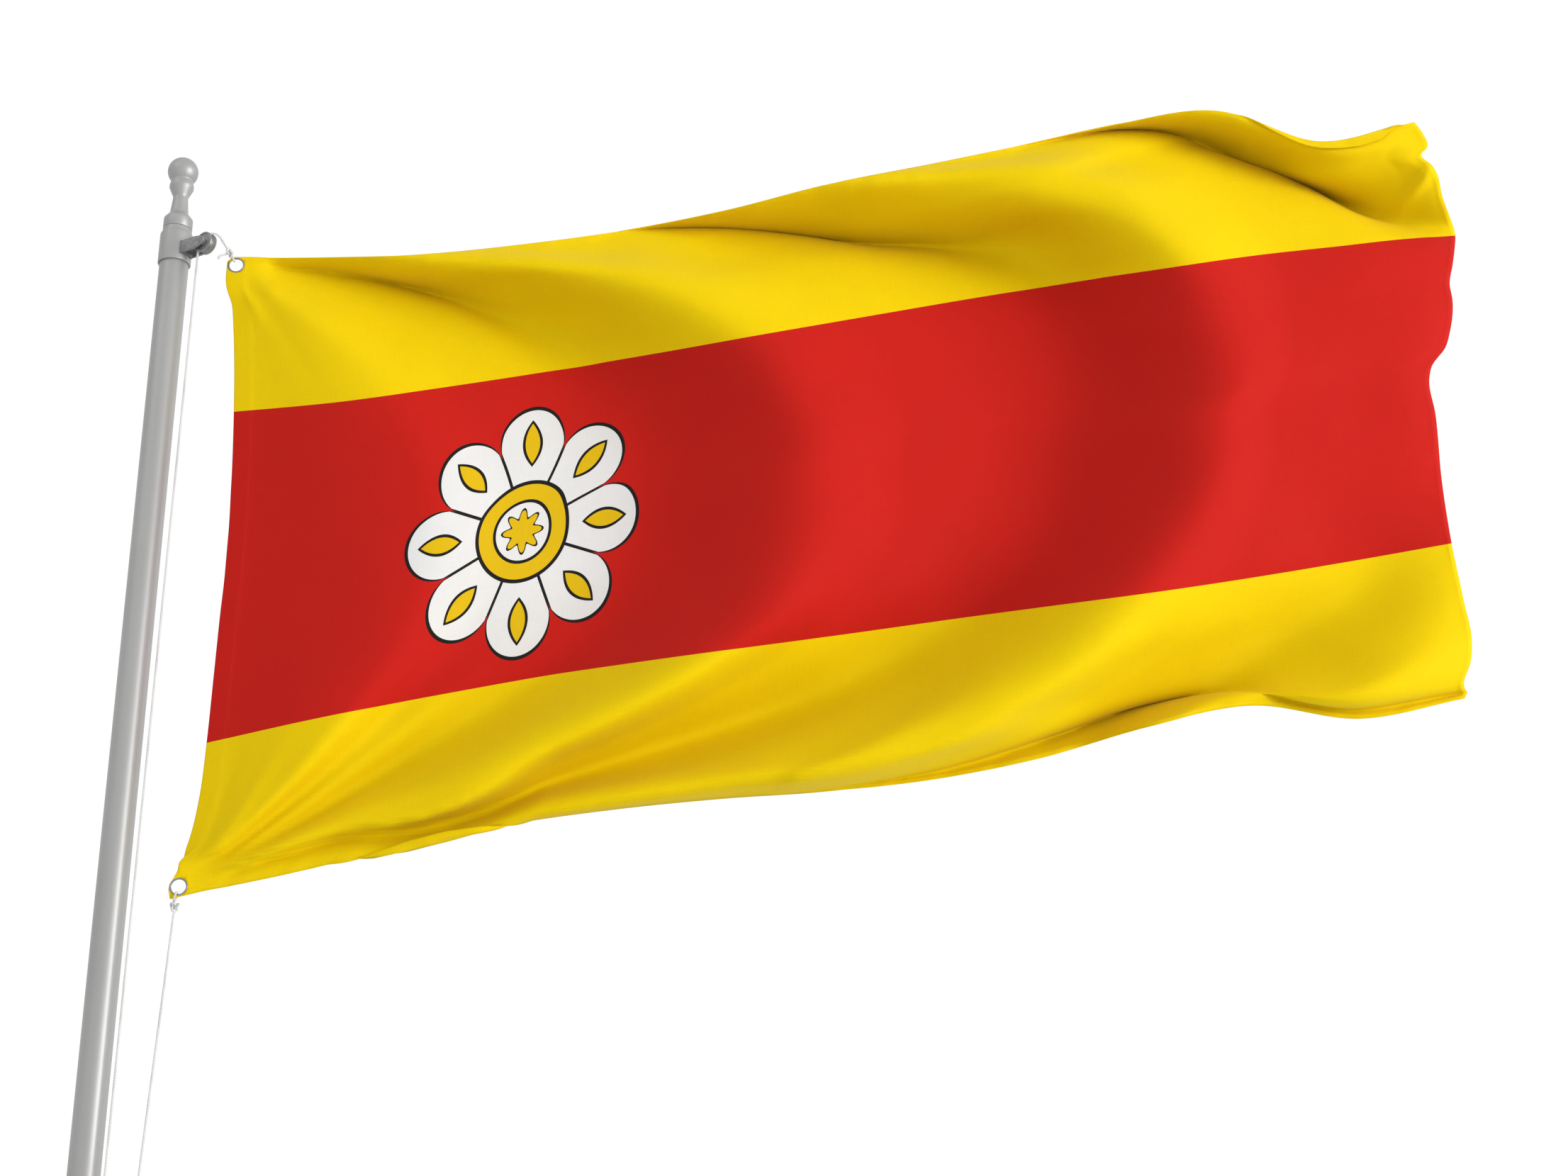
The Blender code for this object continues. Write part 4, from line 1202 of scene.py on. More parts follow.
@dataclass(frozen=True)
class PlaitedRope(Finish):
    """White polyester yarn, a little grey where it is handled."""
    colour: Colour = (0.68, 0.68, 0.67)
    soiled: Colour = (0.44, 0.435, 0.42)
    soil: Grain = Grain(55.0, (1.0, 1.0, 0.3), 4.0)
    fibre: Grain = Grain(2600.0, (1.0, 1.0, 0.4), 2.0)
    soil_shown: tuple[float, float] = (0.45, 0.8)
    soil_share: float = 0.6
    fibre_share: float = 0.15
    roughness: float = 0.8
    sheen: float = 0.3
    sheen_roughness: float = 0.4
    fibre_depth: float = 0.00012
    fibre_strength: float = 0.6

    def build(self) -> bpy.types.Material:
        """The finish as a material.

        Returns:
            The material.
        """
        surface = Surface.start(self.name)
        soil = surface.noise(self.soil)
        fibre = surface.noise(self.fibre)
        share = soil.ramp(*self.soil_shown) * self.soil_share + fibre * self.fibre_share
        surface.set(Base_Color=surface.graph.mix(share, self.colour, self.soiled), Roughness=self.roughness,
                    Sheen_Weight=self.sheen, Sheen_Roughness=self.sheen_roughness)
        surface.bump(fibre, self.fibre_depth, self.fibre_strength)
        return surface.material


@dataclass(frozen=True)
class FlagDye(Finish):
    """The woven cloth, dyed in three level panels, with the printed rosette."""
    yellow: Colour = (0.72, 0.505, 0.0006)
    red: Colour = (0.465, 0.0112, 0.0072)
    white: Colour = (0.66, 0.655, 0.64)
    gold: Colour = (0.62, 0.40, 0.006)
    black: Colour = (0.012, 0.011, 0.011)
    upper_join: float = 0.3
    lower_join: float = 0.9
    rosette_at: tuple[float, float] = (0.580, 0.615)
    rosette_size: tuple[float, float] = (0.230, 0.245)
    petals: int = 8
    petal_dip: float = 0.36
    outline: float = 0.030
    vein_half_width: float = 0.012
    leaf_middle: float = 0.70
    leaf_half_length: float = 0.19
    leaf_half_width: float = 0.085
    leaf_inside: float = 0.72
    rings: tuple[tuple[float, str], ...] = (
        (0.40, "black"), (0.37, "gold"), (0.25, "black"), (0.225, "white"),
    )
    star_radius: float = 0.13
    star_depth: float = 0.035
    star_outline: float = 0.018
    warp: Grain = Grain(1.0, (30.0, 1400.0, 1.0), 2.0)
    weft: Grain = Grain(1.0, (1400.0, 30.0, 1.0), 2.0)
    clouds: Grain = Grain(7.0)
    thread_shade: float = 0.35
    cloud_shade: float = 0.10
    least_shade: float = 0.02
    roughness: float = 0.64
    thread_roughness: float = 0.12
    sheen: float = 0.02
    sheen_roughness: float = 0.4
    specular: float = 0.06
    thread_depth: float = 0.00025
    thread_strength: float = 0.5

    def rosette(self, graph: Graph, fly: Wire, drop: Wire, cloth: Wire) -> Wire:
        """The printed rosette laid over the cloth's colour.

        Args:
            graph: The material's graph.
            fly: Distance from the hoist.
            drop: Distance below the top edge.
            cloth: Colour of the cloth.

        Returns:
            The colour with the rosette on it.
        """
        x = (fly - self.rosette_at[0]) / self.rosette_size[0]
        y = (drop - self.rosette_at[1]) / self.rosette_size[1]
        reach = (x * x + y * y).root()
        turn = y.angle_to(x)
        lobes = (turn * (self.petals / 2)).cosine().size().root()
        rim = lobes * self.petal_dip + (1.0 - self.petal_dip)
        inside = rim - reach
        colour = graph.mix(inside.above(0.0), cloth, self.black)
        colour = graph.mix(inside.above(self.outline), colour, self.white)
        sector = tau / self.petals
        folded = (turn.figure("ADD", tau + sector / 2).figure("MODULO", sector) - sector / 2).size()
        beside = folded * reach
        between = (folded * -1.0 + sector / 2) * reach
        vein = between.below(self.vein_half_width) * reach.above(self.rings[0][0]) * inside.above(0.0)
        colour = graph.mix(vein, colour, self.black)
        leaf_along = (reach - self.leaf_middle) / self.leaf_half_length
        leaf_across = beside / self.leaf_half_width
        leaf = leaf_along * leaf_along + leaf_across
        colour = graph.mix(leaf.below(1.0), colour, self.black)
        colour = graph.mix(leaf.below(self.leaf_inside), colour, self.gold)
        for radius, tone in self.rings:
            colour = graph.mix(reach.below(radius), colour, getattr(self, tone))
        star = (turn * float(self.petals)).cosine() * self.star_depth + self.star_radius
        colour = graph.mix((star - reach).above(-self.star_outline), colour, self.black)
        return graph.mix((star - reach).above(0.0), colour, self.gold)

    def build(self) -> bpy.types.Material:
        """The finish as a material.

        Returns:
            The material.
        """
        surface = Surface.start(self.name)
        graph = surface.graph
        unit = graph.call("ShaderNodeUVMap", settings={"uv_map": "cloth"})
        parts = graph.node("ShaderNodeSeparateXYZ")
        graph.feed(parts.inputs[0], unit)
        fly = Wire(graph, parts.outputs[0]) * CLOTH_FLY
        drop = (Wire(graph, parts.outputs[1]) * -1.0 + 1.0) * CLOTH_HOIST
        is_red = drop.above(self.upper_join) * drop.below(self.lower_join)
        colour = graph.mix(is_red, self.yellow, self.red)
        colour = self.rosette(graph, fly, drop, colour)
        plane = graph.call("ShaderNodeCombineXYZ", X=fly, Y=drop)
        warp = surface.noise(self.warp, plane)
        weft = surface.noise(self.weft, plane)
        clouds = surface.noise(self.clouds, plane)
        threads = warp * 0.5 + weft * 0.5
        shade = (threads - 0.5) * self.thread_shade + (clouds - 0.5) * self.cloud_shade
        colour = graph.mix((shade + self.least_shade).most(0.0), colour, self.black)
        surface.set(Base_Color=colour, Roughness=threads * self.thread_roughness + self.roughness,
                    Sheen_Weight=self.sheen, Sheen_Roughness=self.sheen_roughness,
                    Specular_IOR_Level=self.specular)
        surface.bump(threads, self.thread_depth, self.thread_strength)
        return surface.material


@dataclass(frozen=True)
class Thread(Finish):
    """Sewing thread in the panel's own colour."""
    colour: Colour = (0.68, 0.47, 0.001)
    between: Colour = (0.05, 0.03, 0.01)
    ply: Grain = Grain(1800.0, detail=2.0)
    ply_share: float = 0.3
    roughness: float = 0.6
    sheen: float = 0.3
    ply_depth: float = 0.0001
    ply_strength: float = 0.5

    def build(self) -> bpy.types.Material:
        """The finish as a material.

        Returns:
            The material.
        """
        surface = Surface.start(self.name)
        ply = surface.noise(self.ply)
        surface.set(Base_Color=surface.graph.mix(ply * self.ply_share, self.colour, self.between),
                    Roughness=self.roughness, Sheen_Weight=self.sheen)
        surface.bump(ply, self.ply_depth, self.ply_strength)
        return surface.material


@dataclass(frozen=True)
class StudioFloor(Finish):
    """Plain pale floor."""
    colour: Colour = (0.86, 0.87, 0.88)
    mottled: Colour = (0.76, 0.77, 0.78)
    mottle: Grain = Grain(1.5, detail=2.0)
    mottle_share: float = 0.2
    roughness: float = 0.9

    def build(self) -> bpy.types.Material:
        """The finish as a material.

        Returns:
            The material.
        """
        surface = Surface.start(self.name)
        share = surface.noise(self.mottle) * self.mottle_share
        surface.set(Base_Color=surface.graph.mix(share, self.colour, self.mottled), Roughness=self.roughness)
        return surface.material


@dataclass
class FinishShelf:
    """Every finish of the scene, each built once."""
    made: dict[str, bpy.types.Material] = field(default_factory=dict)

    def take(self, finish: Finish) -> bpy.types.Material:
        """The material of a finish.

        Args:
            finish: The finish.

        Returns:
            Its material.
        """
        if finish.name not in self.made:
            self.made[finish.name] = finish.build()
        return self.made[finish.name]


POLE_PAINT = PaintedMetal("pole_paint", Slot.POLE)
ZINC = DullZinc("dull_zinc", Slot.BRACKET)
STEEL = PressedSteel("eyelet_steel", Slot.EYELET)
ROPE_YARN = PlaitedRope("rope_yarn", Slot.CORD)
DYED_CLOTH = FlagDye("flag_dye", Slot.CLOTH)
YELLOW_THREAD = Thread("yellow_thread", Slot.CLOTH)
RED_THREAD = Thread("red_thread", Slot.CLOTH, (0.43, 0.012, 0.008))
FLOOR = StudioFloor("studio_floor", None)


# Geometry Nodes

@dataclass
class Growth(Graph):
    """A Geometry Nodes group that grows detail along curves."""
    inputs: dict[str, str] = field(default_factory=dict)

    @staticmethod
    def start(name: str, **numbers: float) -> "Growth":
        """A new group with a geometry input, a material input and named numbers.

        Args:
            name: Its name.
            numbers: Named inputs and their values.

        Returns:
            The group.
        """
        tree = bpy.data.node_groups.new(name, "GeometryNodeTree")
        tree.interface.new_socket("Geometry", in_out="INPUT", socket_type="NodeSocketGeometry")
        growth = Growth(tree)
        for label, value in numbers.items():
            socket = tree.interface.new_socket(label, in_out="INPUT", socket_type="NodeSocketFloat")
            socket.default_value = value
            growth.inputs[label] = socket.identifier
        socket = tree.interface.new_socket("Material", in_out="INPUT", socket_type="NodeSocketMaterial")
        growth.inputs["Material"] = socket.identifier
        tree.interface.new_socket("Geometry", in_out="OUTPUT", socket_type="NodeSocketGeometry")
        return growth

    def finish(self, entry: bpy.types.Node, geometry: Wire) -> None:
        """Realizes the instances, sets the material and ends the group.

        Args:
            entry: The group's input node.
            geometry: What has grown.
        """
        real = self.call("GeometryNodeRealizeInstances", Geometry=geometry)
        smooth = self.call("GeometryNodeSetShadeSmooth", Geometry=real)
        dressed = self.call("GeometryNodeSetMaterial", Geometry=smooth, Material=entry.outputs["Material"])
        leave = self.node("NodeGroupOutput")
        self.feed(leave.inputs[0], dressed)

    def grow(self, name: str, source: bpy.types.Object, material: bpy.types.Material,
             **numbers: float) -> bpy.types.Object:
        """Runs the group on a curve and returns a plain mesh object.

        Args:
            name: Name of the new object.
            source: The curve object, which is removed.
            material: The material.
            numbers: Named inputs to change.

        Returns:
            The mesh object.
        """
        modifier = source.modifiers.new("Growth", "NODES")
        modifier.node_group = self.tree
        modifier[self.inputs["Material"]] = material
        for label, value in numbers.items():
            modifier[self.inputs[label]] = value
        bpy.context.view_layer.update()
        evaluated = source.evaluated_get(bpy.context.evaluated_depsgraph_get())
        mesh = bpy.data.meshes.new_from_object(evaluated)
        bpy.data.objects.remove(source, do_unlink=True)
        mesh.name = name
        grown = bpy.data.objects.new(name, mesh)
        bpy.context.scene.collection.objects.link(grown)
        return grown


def braid_growth() -> Growth:
    """A group that plaits eight yarns round a core along a curve.

    Returns:
        The group.
    """
    growth = Growth.start("plait", Radius=ROPE_RADIUS, Pitch=0.019, Step=0.0019)
    entry = growth.node("NodeGroupInput")
    number = {label: Wire(growth, entry.outputs[label]) for label in ("Radius", "Pitch", "Step")}
    line = growth.call("GeometryNodeResampleCurve", settings={"mode": "LENGTH"},
                       Curve=entry.outputs["Geometry"], Length=number["Step"])
    run = growth.call("GeometryNodeSplineParameter", "Length")
    tangent = growth.call("GeometryNodeInputTangent")
    normal = growth.call("GeometryNodeInputNormal")
    side = growth.vector_math("CROSS_PRODUCT", tangent, normal)
    lay = run / number["Pitch"] * tau
    join = growth.node("GeometryNodeJoinGeometry")
    yarns, yarn_share, core_share, weave_share, ring_share = 4, 0.27, 0.62, 0.09, 0.64
    yarn = growth.call("GeometryNodeCurvePrimitiveCircle", Resolution=5, Radius=number["Radius"] * yarn_share)
    for hand in (1.0, -1.0):
        for k in range(yarns):
            turn = lay * hand + k * tau / yarns
            away = (lay * float(yarns)).cosine() * (weave_share * hand) + ring_share
            away = away * number["Radius"]
            offset = growth.vector_math(
                "ADD",
                growth.vector_math("SCALE", normal, scale=turn.cosine() * away),
                growth.vector_math("SCALE", side, scale=turn.sine() * away))
            strand = growth.call("GeometryNodeSetPosition", Geometry=line, Offset=offset)
            tube = growth.call("GeometryNodeCurveToMesh", Curve=strand, Profile_Curve=yarn, Fill_Caps=True)
            growth.feed(join.inputs[0], tube)
    core = growth.call("GeometryNodeCurvePrimitiveCircle", Resolution=8, Radius=number["Radius"] * core_share)
    middle = growth.call("GeometryNodeCurveToMesh", Curve=line, Profile_Curve=core, Fill_Caps=True)
    growth.feed(join.inputs[0], middle)
    growth.finish(entry, Wire(growth, join.outputs[0]))
    return growth


def stitch_growth() -> Growth:
    """A group that lays short sewn stitches end to end along a curve.

    Returns:
        The group.
    """
    growth = Growth.start("stitches", Pitch=0.0036, Length=0.0027, Thickness=0.00034)
    entry = growth.node("NodeGroupInput")
    number = {label: Wire(growth, entry.outputs[label]) for label in ("Pitch", "Length", "Thickness")}
    spots = growth.call("GeometryNodeResampleCurve", settings={"mode": "LENGTH"},
                        Curve=entry.outputs["Geometry"], Length=number["Pitch"])
    bead = growth.call("GeometryNodeMeshUVSphere", Segments=6, Rings=4, Radius=0.5)
    size = growth.call("ShaderNodeCombineXYZ", X=number["Thickness"], Y=number["Thickness"],
                       Z=number["Length"])
    turn = growth.call("FunctionNodeAlignRotationToVector", settings={"axis": "Z"},
                       Vector=growth.call("GeometryNodeInputTangent"))
    sewn = growth.call("GeometryNodeInstanceOnPoints", Points=spots, Instance=bead, Rotation=turn, Scale=size)
    growth.finish(entry, sewn)
    return growth


# Building helpers

def add_mesh(name: str, mesh: bpy.types.Mesh, material: bpy.types.Material) -> bpy.types.Object:
    """An object of a mesh, at the origin.

    Args:
        name: Its name.
        mesh: The mesh.
        material: Its material.

    Returns:
        The object.
    """
    mesh.materials.clear()
    mesh.materials.append(material)
    item = bpy.data.objects.new(name, mesh)
    bpy.context.scene.collection.objects.link(item)
    return item


def settle(item: bpy.types.Object) -> bpy.types.Object:
    """Applies an object's modifiers and its place, so that it stands at the origin as a plain mesh.

    Args:
        item: The object.

    Returns:
        The same object.
    """
    bpy.context.view_layer.update()
    evaluated = item.evaluated_get(bpy.context.evaluated_depsgraph_get())
    mesh = bpy.data.meshes.new_from_object(evaluated)
    mesh.transform(item.matrix_world)
    item.modifiers.clear()
    item.data = mesh
    item.matrix_world = Matrix()
    return item


def polyline(name: str, points: Iterable[Sequence[float]], closed: bool = False) -> bpy.types.Object:
    """A curve object through points.

    Args:
        name: Its name.
        points: The points.
        closed: Whether it closes on itself.

    Returns:
        The object.
    """
    places = [tuple(point) for point in points]
    curve = bpy.data.curves.new(name, "CURVE")
    curve.dimensions = "3D"
    spline = curve.splines.new("POLY")
    spline.points.add(len(places) - 1)
    for point, place in zip(spline.points, places):
        point.co = (*place, 1.0)
    spline.use_cyclic_u = closed
    item = bpy.data.objects.new(name, curve)
    bpy.context.scene.collection.objects.link(item)
    return item


def on_axis(origin: Vector, x_axis: Vector, y_axis: Vector, z_axis: Vector) -> Matrix:
    """Matrix of a local frame.

    Args:
        origin: Its origin.
        x_axis: Its X.
        y_axis: Its Y.
        z_axis: Its Z.

    Returns:
        The matrix.
    """
    place = Matrix((x_axis, y_axis, z_axis)).transposed().to_4x4()
    place.translation = origin
    return place


def soften(item: bpy.types.Object, width: float, degrees: float) -> None:
    """Rounds an object's sharp edges a little.

    Args:
        item: The object.
        width: Width of the rounding.
        degrees: Least angle of an edge that is rounded.
    """
    bevel = item.modifiers.new("Soft edges", "BEVEL")
    bevel.width = width
    bevel.segments = 2
    bevel.limit_method = "ANGLE"
    bevel.angle_limit = radians(degrees)


def cutter(name: str, radius: float, length: float, place: Matrix, sides: int,
           material: bpy.types.Material) -> bpy.types.Object:
    """A plain rod that cuts a round hole and is then removed.

    Args:
        name: Its name.
        radius: Its radius.
        length: Its length.
        place: Its middle and turn, with its length along Z.
        sides: Number of its sides.
        material: The material left in the hole.

    Returns:
        The cutter.
    """
    mesh = bpy.data.meshes.new(name)
    shape = bmesh.new()
    bmesh.ops.create_cone(shape, cap_ends=True, segments=sides, radius1=radius, radius2=radius, depth=length,
                          matrix=place)
    shape.to_mesh(mesh)
    shape.free()
    return add_mesh(name, mesh, material)


def facing_viewer(centre: Vector) -> Matrix:
    """Place of a piece whose Z points at the viewer.

    Args:
        centre: Its centre.

    Returns:
        The place.
    """
    return Matrix.Translation(centre) @ Matrix.Rotation(pi / 2, 4, "X")


@dataclass
class Piece:
    """A finished piece: what it replaces in the frame and what it rides on."""
    item: bpy.types.Object
    finish: Finish
    replaces: tuple[str, ...]
    body: Body = Body.MAST

    def hand_over(self) -> bpy.types.Object:
        """Tells the frame about the piece and reports it.

        Returns:
            The object.
        """
        if self.replaces:
            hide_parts(*self.replaces)
        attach(self.item, self.body.value)
        LOG.info("%s: %d faces, rides on %s", self.item.name, len(self.item.data.polygons), self.body.value)
        return self.item


@dataclass
class Turning:
    """A turned piece: a profile of radius and height swept round an axis."""
    name: str
    profile: Sequence[tuple[float, float]]
    place: Matrix
    steps: int = 96
    bevel: float = 0.0003

    def build(self, material: bpy.types.Material) -> bpy.types.Object:
        """The turned piece.

        Args:
            material: Its material.

        Returns:
            The object, at the origin.
        """
        count = len(self.profile)
        closed = self.profile[0][0] > 0.0
        links = [(k, k + 1) for k in range(count - 1)] + ([(count - 1, 0)] if closed else [])
        mesh = bpy.data.meshes.new(self.name)
        mesh.from_pydata([(r, 0.0, h) for r, h in self.profile], links, [])
        item = add_mesh(self.name, mesh, material)
        item.matrix_world = self.place
        screw = item.modifiers.new("Turning", "SCREW")
        screw.steps = screw.render_steps = self.steps
        screw.use_merge_vertices = True
        screw.merge_threshold = 0.00002
        screw.use_normal_calculate = True
        if self.bevel > 0.0:
            soften(item, self.bevel, 32.0)
        item = settle(item)
        item.data.shade_smooth()
        item.data.set_sharp_from_angle(angle=radians(40))
        return item


# The cloth

@dataclass
class FlagCloth:
    """The woven sheet with its hems, punched for the eyelets, and its sewing."""
    shape: ClothShape
    shelf: FinishShelf
    cells: tuple[int, int] = (276, 144)
    thickness: float = 0.0014
    field_share: float = 0.62
    hem: float = 0.010
    hoist_hem: float = 0.0345
    hole_radius: float = 0.0135
    fine_step: float = 0.0016
    fine_reach: float = 0.026
    hem_slope: float = 0.0006
    punch_depth: float = 0.0024
    sewing_margin: float = 0.004
    stitch_lines: tuple[tuple[str, float], ...] = (
        ("top", 0.0085), ("bottom", 0.0085), ("hoist", 0.0330), ("fly", 0.0085),
    )

    def keys(self, length: float, cells: int, extras: Sequence[float]) -> Array:
        """Grid lines over a length, with extra ones at sewn edges.

        Args:
            length: The length.
            cells: Number of even cells.
            extras: Where extra lines go.

        Returns:
            The lines in order.
        """
        lines = np.linspace(0.0, length, cells + 1)
        extras = np.array(sorted(extras))
        apart = np.min(np.abs(lines[:, None] - extras[None, :]), axis=1) > 0.3 * length / cells
        apart[0] = apart[-1] = True
        return np.sort(np.concatenate([lines[apart], extras]))

    def sheet(self) -> bpy.types.Object:
        """The sheet itself, with its thickness, hems and holes.

        Returns:
            The object.
        """
        near_edge = np.arange(self.fine_step, self.fine_reach, self.fine_step).tolist()
        fly_hems = [at + side for at in (self.hoist_hem, CLOTH_FLY - self.hem)
                    for side in (-self.hem_slope, self.hem_slope)]
        drop_hem = [CLOTH_HOIST - self.hem - self.hem_slope, CLOTH_HOIST - self.hem + self.hem_slope]
        fly_keys = self.keys(CLOTH_FLY, self.cells[0], near_edge + fly_hems)
        drop_keys = self.keys(CLOTH_HOIST, self.cells[1], near_edge + drop_hem)
        fly, drop = np.meshgrid(fly_keys, drop_keys, indexing="ij")
        fly, drop = fly.ravel(), drop.ravel()
        places = self.shape.points(fly, drop)
        rows = len(drop_keys)
        corner = np.arange(len(fly)).reshape(len(fly_keys), rows)
        quads = np.stack([corner[:-1, :-1], corner[:-1, 1:], corner[1:, 1:], corner[1:, :-1]], -1)
        mesh = bpy.data.meshes.new("cloth")
        mesh.from_pydata(places.tolist(), [], quads.reshape(-1, 4).tolist())
        layer = mesh.uv_layers.new(name="cloth")
        loops = np.empty(len(mesh.loops), dtype=np.int32)
        mesh.loops.foreach_get("vertex_index", loops)
        flat = np.stack([fly[loops] / CLOTH_FLY, 1.0 - drop[loops] / CLOTH_HOIST], -1)
        layer.data.foreach_set("uv", flat.ravel())
        item = add_mesh("cloth", mesh, self.shelf.take(DYED_CLOTH))
        group = item.vertex_groups.new(name="hems")
        in_hem = ((fly < self.hoist_hem) | (fly > CLOTH_FLY - self.hem) | (drop < self.hem)
                  | (drop > CLOTH_HOIST - self.hem))
        group.add([int(k) for k in np.flatnonzero(in_hem)], 1.0, "REPLACE")
        thicken = item.modifiers.new("Thickness", "SOLIDIFY")
        thicken.thickness = self.thickness
        thicken.offset = 0.0
        thicken.vertex_group = group.name
        thicken.thickness_vertex_group = self.field_share
        punches = [cutter("punch", self.hole_radius, self.punch_depth, facing_viewer(centre), 48,
                          self.shelf.take(DYED_CLOTH)) for centre in (UPPER_EYELET, LOWER_EYELET)]
        for punch in punches:
            cut = item.modifiers.new("Eyelet hole", "BOOLEAN")
            cut.object = punch
            cut.operation = "DIFFERENCE"
            cut.solver = "FAST"
        item = settle(item)
        for punch in punches:
            bpy.data.objects.remove(punch, do_unlink=True)
        item.data.shade_smooth()
        return item

    def line(self, edge: str, inset: float, step: float = 0.004) -> tuple[Array, Array]:
        """A sewn line along one edge.

        Args:
            edge: top, bottom, hoist or fly.
            inset: Distance in from the edge.
            step: Spacing of its points.

        Returns:
            Fly and drop of its points.
        """
        margin = self.sewing_margin
        along_fly = np.arange(margin, CLOTH_FLY - margin, step)
        along_drop = np.arange(margin, CLOTH_HOIST - margin, step)
        if edge == "hoist":
            return np.full_like(along_drop, inset), along_drop
        if edge == "fly":
            return np.full_like(along_drop, CLOTH_FLY - inset), along_drop
        return along_fly, np.full_like(along_fly, inset if edge == "top" else CLOTH_HOIST - inset)

    def sewing(self) -> list[Piece]:
        """The stitches of the hems on both faces, in the colour of the panel that they cross.

        Returns:
            The pieces.
        """
        growth = stitch_growth()
        pieces = []
        for edge, inset in self.stitch_lines:
            fly, drop = self.line(edge, inset)
            upright = edge in ("hoist", "fly")
            panels = [(YELLOW_THREAD, drop < DYED_CLOTH.upper_join, "upper"),
                      (RED_THREAD, (drop > DYED_CLOTH.upper_join) & (drop < DYED_CLOTH.lower_join), "middle"),
                      (YELLOW_THREAD, drop > DYED_CLOTH.lower_join, "lower")]
            for thread, chosen, panel in panels if upright else [(YELLOW_THREAD, drop > 0.0, "whole")]:
                places = self.shape.points(fly[chosen], drop[chosen])
                normals = self.shape.normals(fly[chosen], drop[chosen])
                for face, side in (("front", 1.0), ("back", -1.0)):
                    source = polyline("sewn line", places + normals * side * self.thickness * 0.5)
                    name = f"stitches_{edge}_{panel}_{face}"
                    pieces.append(Piece(growth.grow(name, source, self.shelf.take(thread)), thread, ()))
        return pieces

    def build(self) -> None:
        """Builds the cloth and hands it over."""
        item = self.sheet()
        Piece(item, DYED_CLOTH, ("flag_cloth",)).hand_over()
        sewn = [piece.hand_over() for piece in self.sewing()]


@dataclass
class Eyelets:
    """The two pressed eyelets, each a flanged ring with a rolled lip."""
    shelf: FinishShelf
    inner: float = 0.0123
    outer: float = 0.0150
    half_thickness: float = 0.0017
    lip_foot: float = 0.0009
    lip_steps: int = 16

    def profile(self) -> list[tuple[float, float]]:
        """Section of the ring, closed.

        Returns:
            Radius and height of its points.
        """
        lip = (self.outer - self.inner) / 2
        middle = (self.outer + self.inner) / 2
        crown = self.half_thickness - self.lip_foot
        turns = [pi * k / self.lip_steps for k in range(self.lip_steps + 1)]
        face = [(middle + lip * cos(turn), self.lip_foot + crown * sin(turn)) for turn in turns]
        return face + [(r, -h) for r, h in reversed(face)]

    def build(self) -> None:
        """Builds both eyelets and hands them over."""
        for name, centre in (("eyelet_upper", UPPER_EYELET), ("eyelet_lower", LOWER_EYELET)):
            ring = Turning(name + "_ring", self.profile(), facing_viewer(centre), 64, 0.0)
            Piece(ring.build(self.shelf.take(STEEL)), STEEL, (name,)).hand_over()


# The pole head

@dataclass
class PoleHead:
    """The pole, the truck and the ball finial."""
    shelf: FinishShelf
    mast_radius: float = 0.026
    mast_top: float = 2.3325
    mast_edge: float = 0.0008

    def finial_profile(self) -> list[tuple[float, float]]:
        """Outer line of the finial, from the top of its ball to its flat foot.

        Returns:
            Radius and height of its points.
        """
        ball, centre, steps = 0.0275, 0.120, 36
        start, end = pi / 2, radians(-43.0)
        points = []
        for k in range(steps + 1):
            angle = start + (end - start) * k / steps
            points.append((ball * cos(angle) if k else 0.0, centre + ball * sin(angle)))
        return points + [
            (0.0200, 0.0985), (0.0204, 0.0965), (0.0213, 0.0930), (0.0217, 0.0900), (0.0218, 0.0860),
            (0.0214, 0.0848), (0.0180, 0.0770), (0.0150, 0.0705), (0.0136, 0.0672), (0.0134, 0.0655),
            (0.0137, 0.0620), (0.0152, 0.0460), (0.0166, 0.0325), (0.0171, 0.0315), (0.0178, 0.0308),
            (0.0215, 0.0262), (0.0250, 0.0217), (0.0258, 0.0205), (0.0260, 0.0190), (0.0260, 0.0010),
            (0.0255, 0.0000), (0.0, 0.0),
        ]

    def truck_profile(self) -> list[tuple[float, float]]:
        """Section of the truck's collar, closed.

        Returns:
            Radius and height of its points.
        """
        bore, outer, top, foot, edge = 0.0263, 0.02925, 2.323, 2.262, 0.0006
        shoulder = ((0.0026, 0.0000), (0.0017, 0.0004), (0.0008, 0.0014), (0.0002, 0.0028), (0.0000, 0.0045))
        return [(bore, top), *((outer - inset, top - drop) for inset, drop in shoulder),
                (outer, foot + edge), (outer - edge, foot), (bore, foot)]

    def build(self) -> None:
        """Builds the pole head and hands it over."""
        paint = self.shelf.take(POLE_PAINT)
        rim = self.mast_radius - self.mast_edge
        mast = [(0.0, self.mast_top), (rim, self.mast_top),
                (self.mast_radius, self.mast_top - self.mast_edge), (self.mast_radius, self.mast_edge),
                (rim, 0.0), (0.0, 0.0)]
        Piece(Turning("pole", mast, Matrix()).build(paint), POLE_PAINT, ("mast",)).hand_over()
        truck = Turning("truck_collar", self.truck_profile(), Matrix())
        Piece(truck.build(paint), POLE_PAINT, ("truck",)).hand_over()
        seat = Matrix.Translation(UP * (self.mast_top + GAP))
        finial = Turning("ball_finial", self.finial_profile(), seat)
        Piece(finial.build(paint), POLE_PAINT, ("finial",)).hand_over()


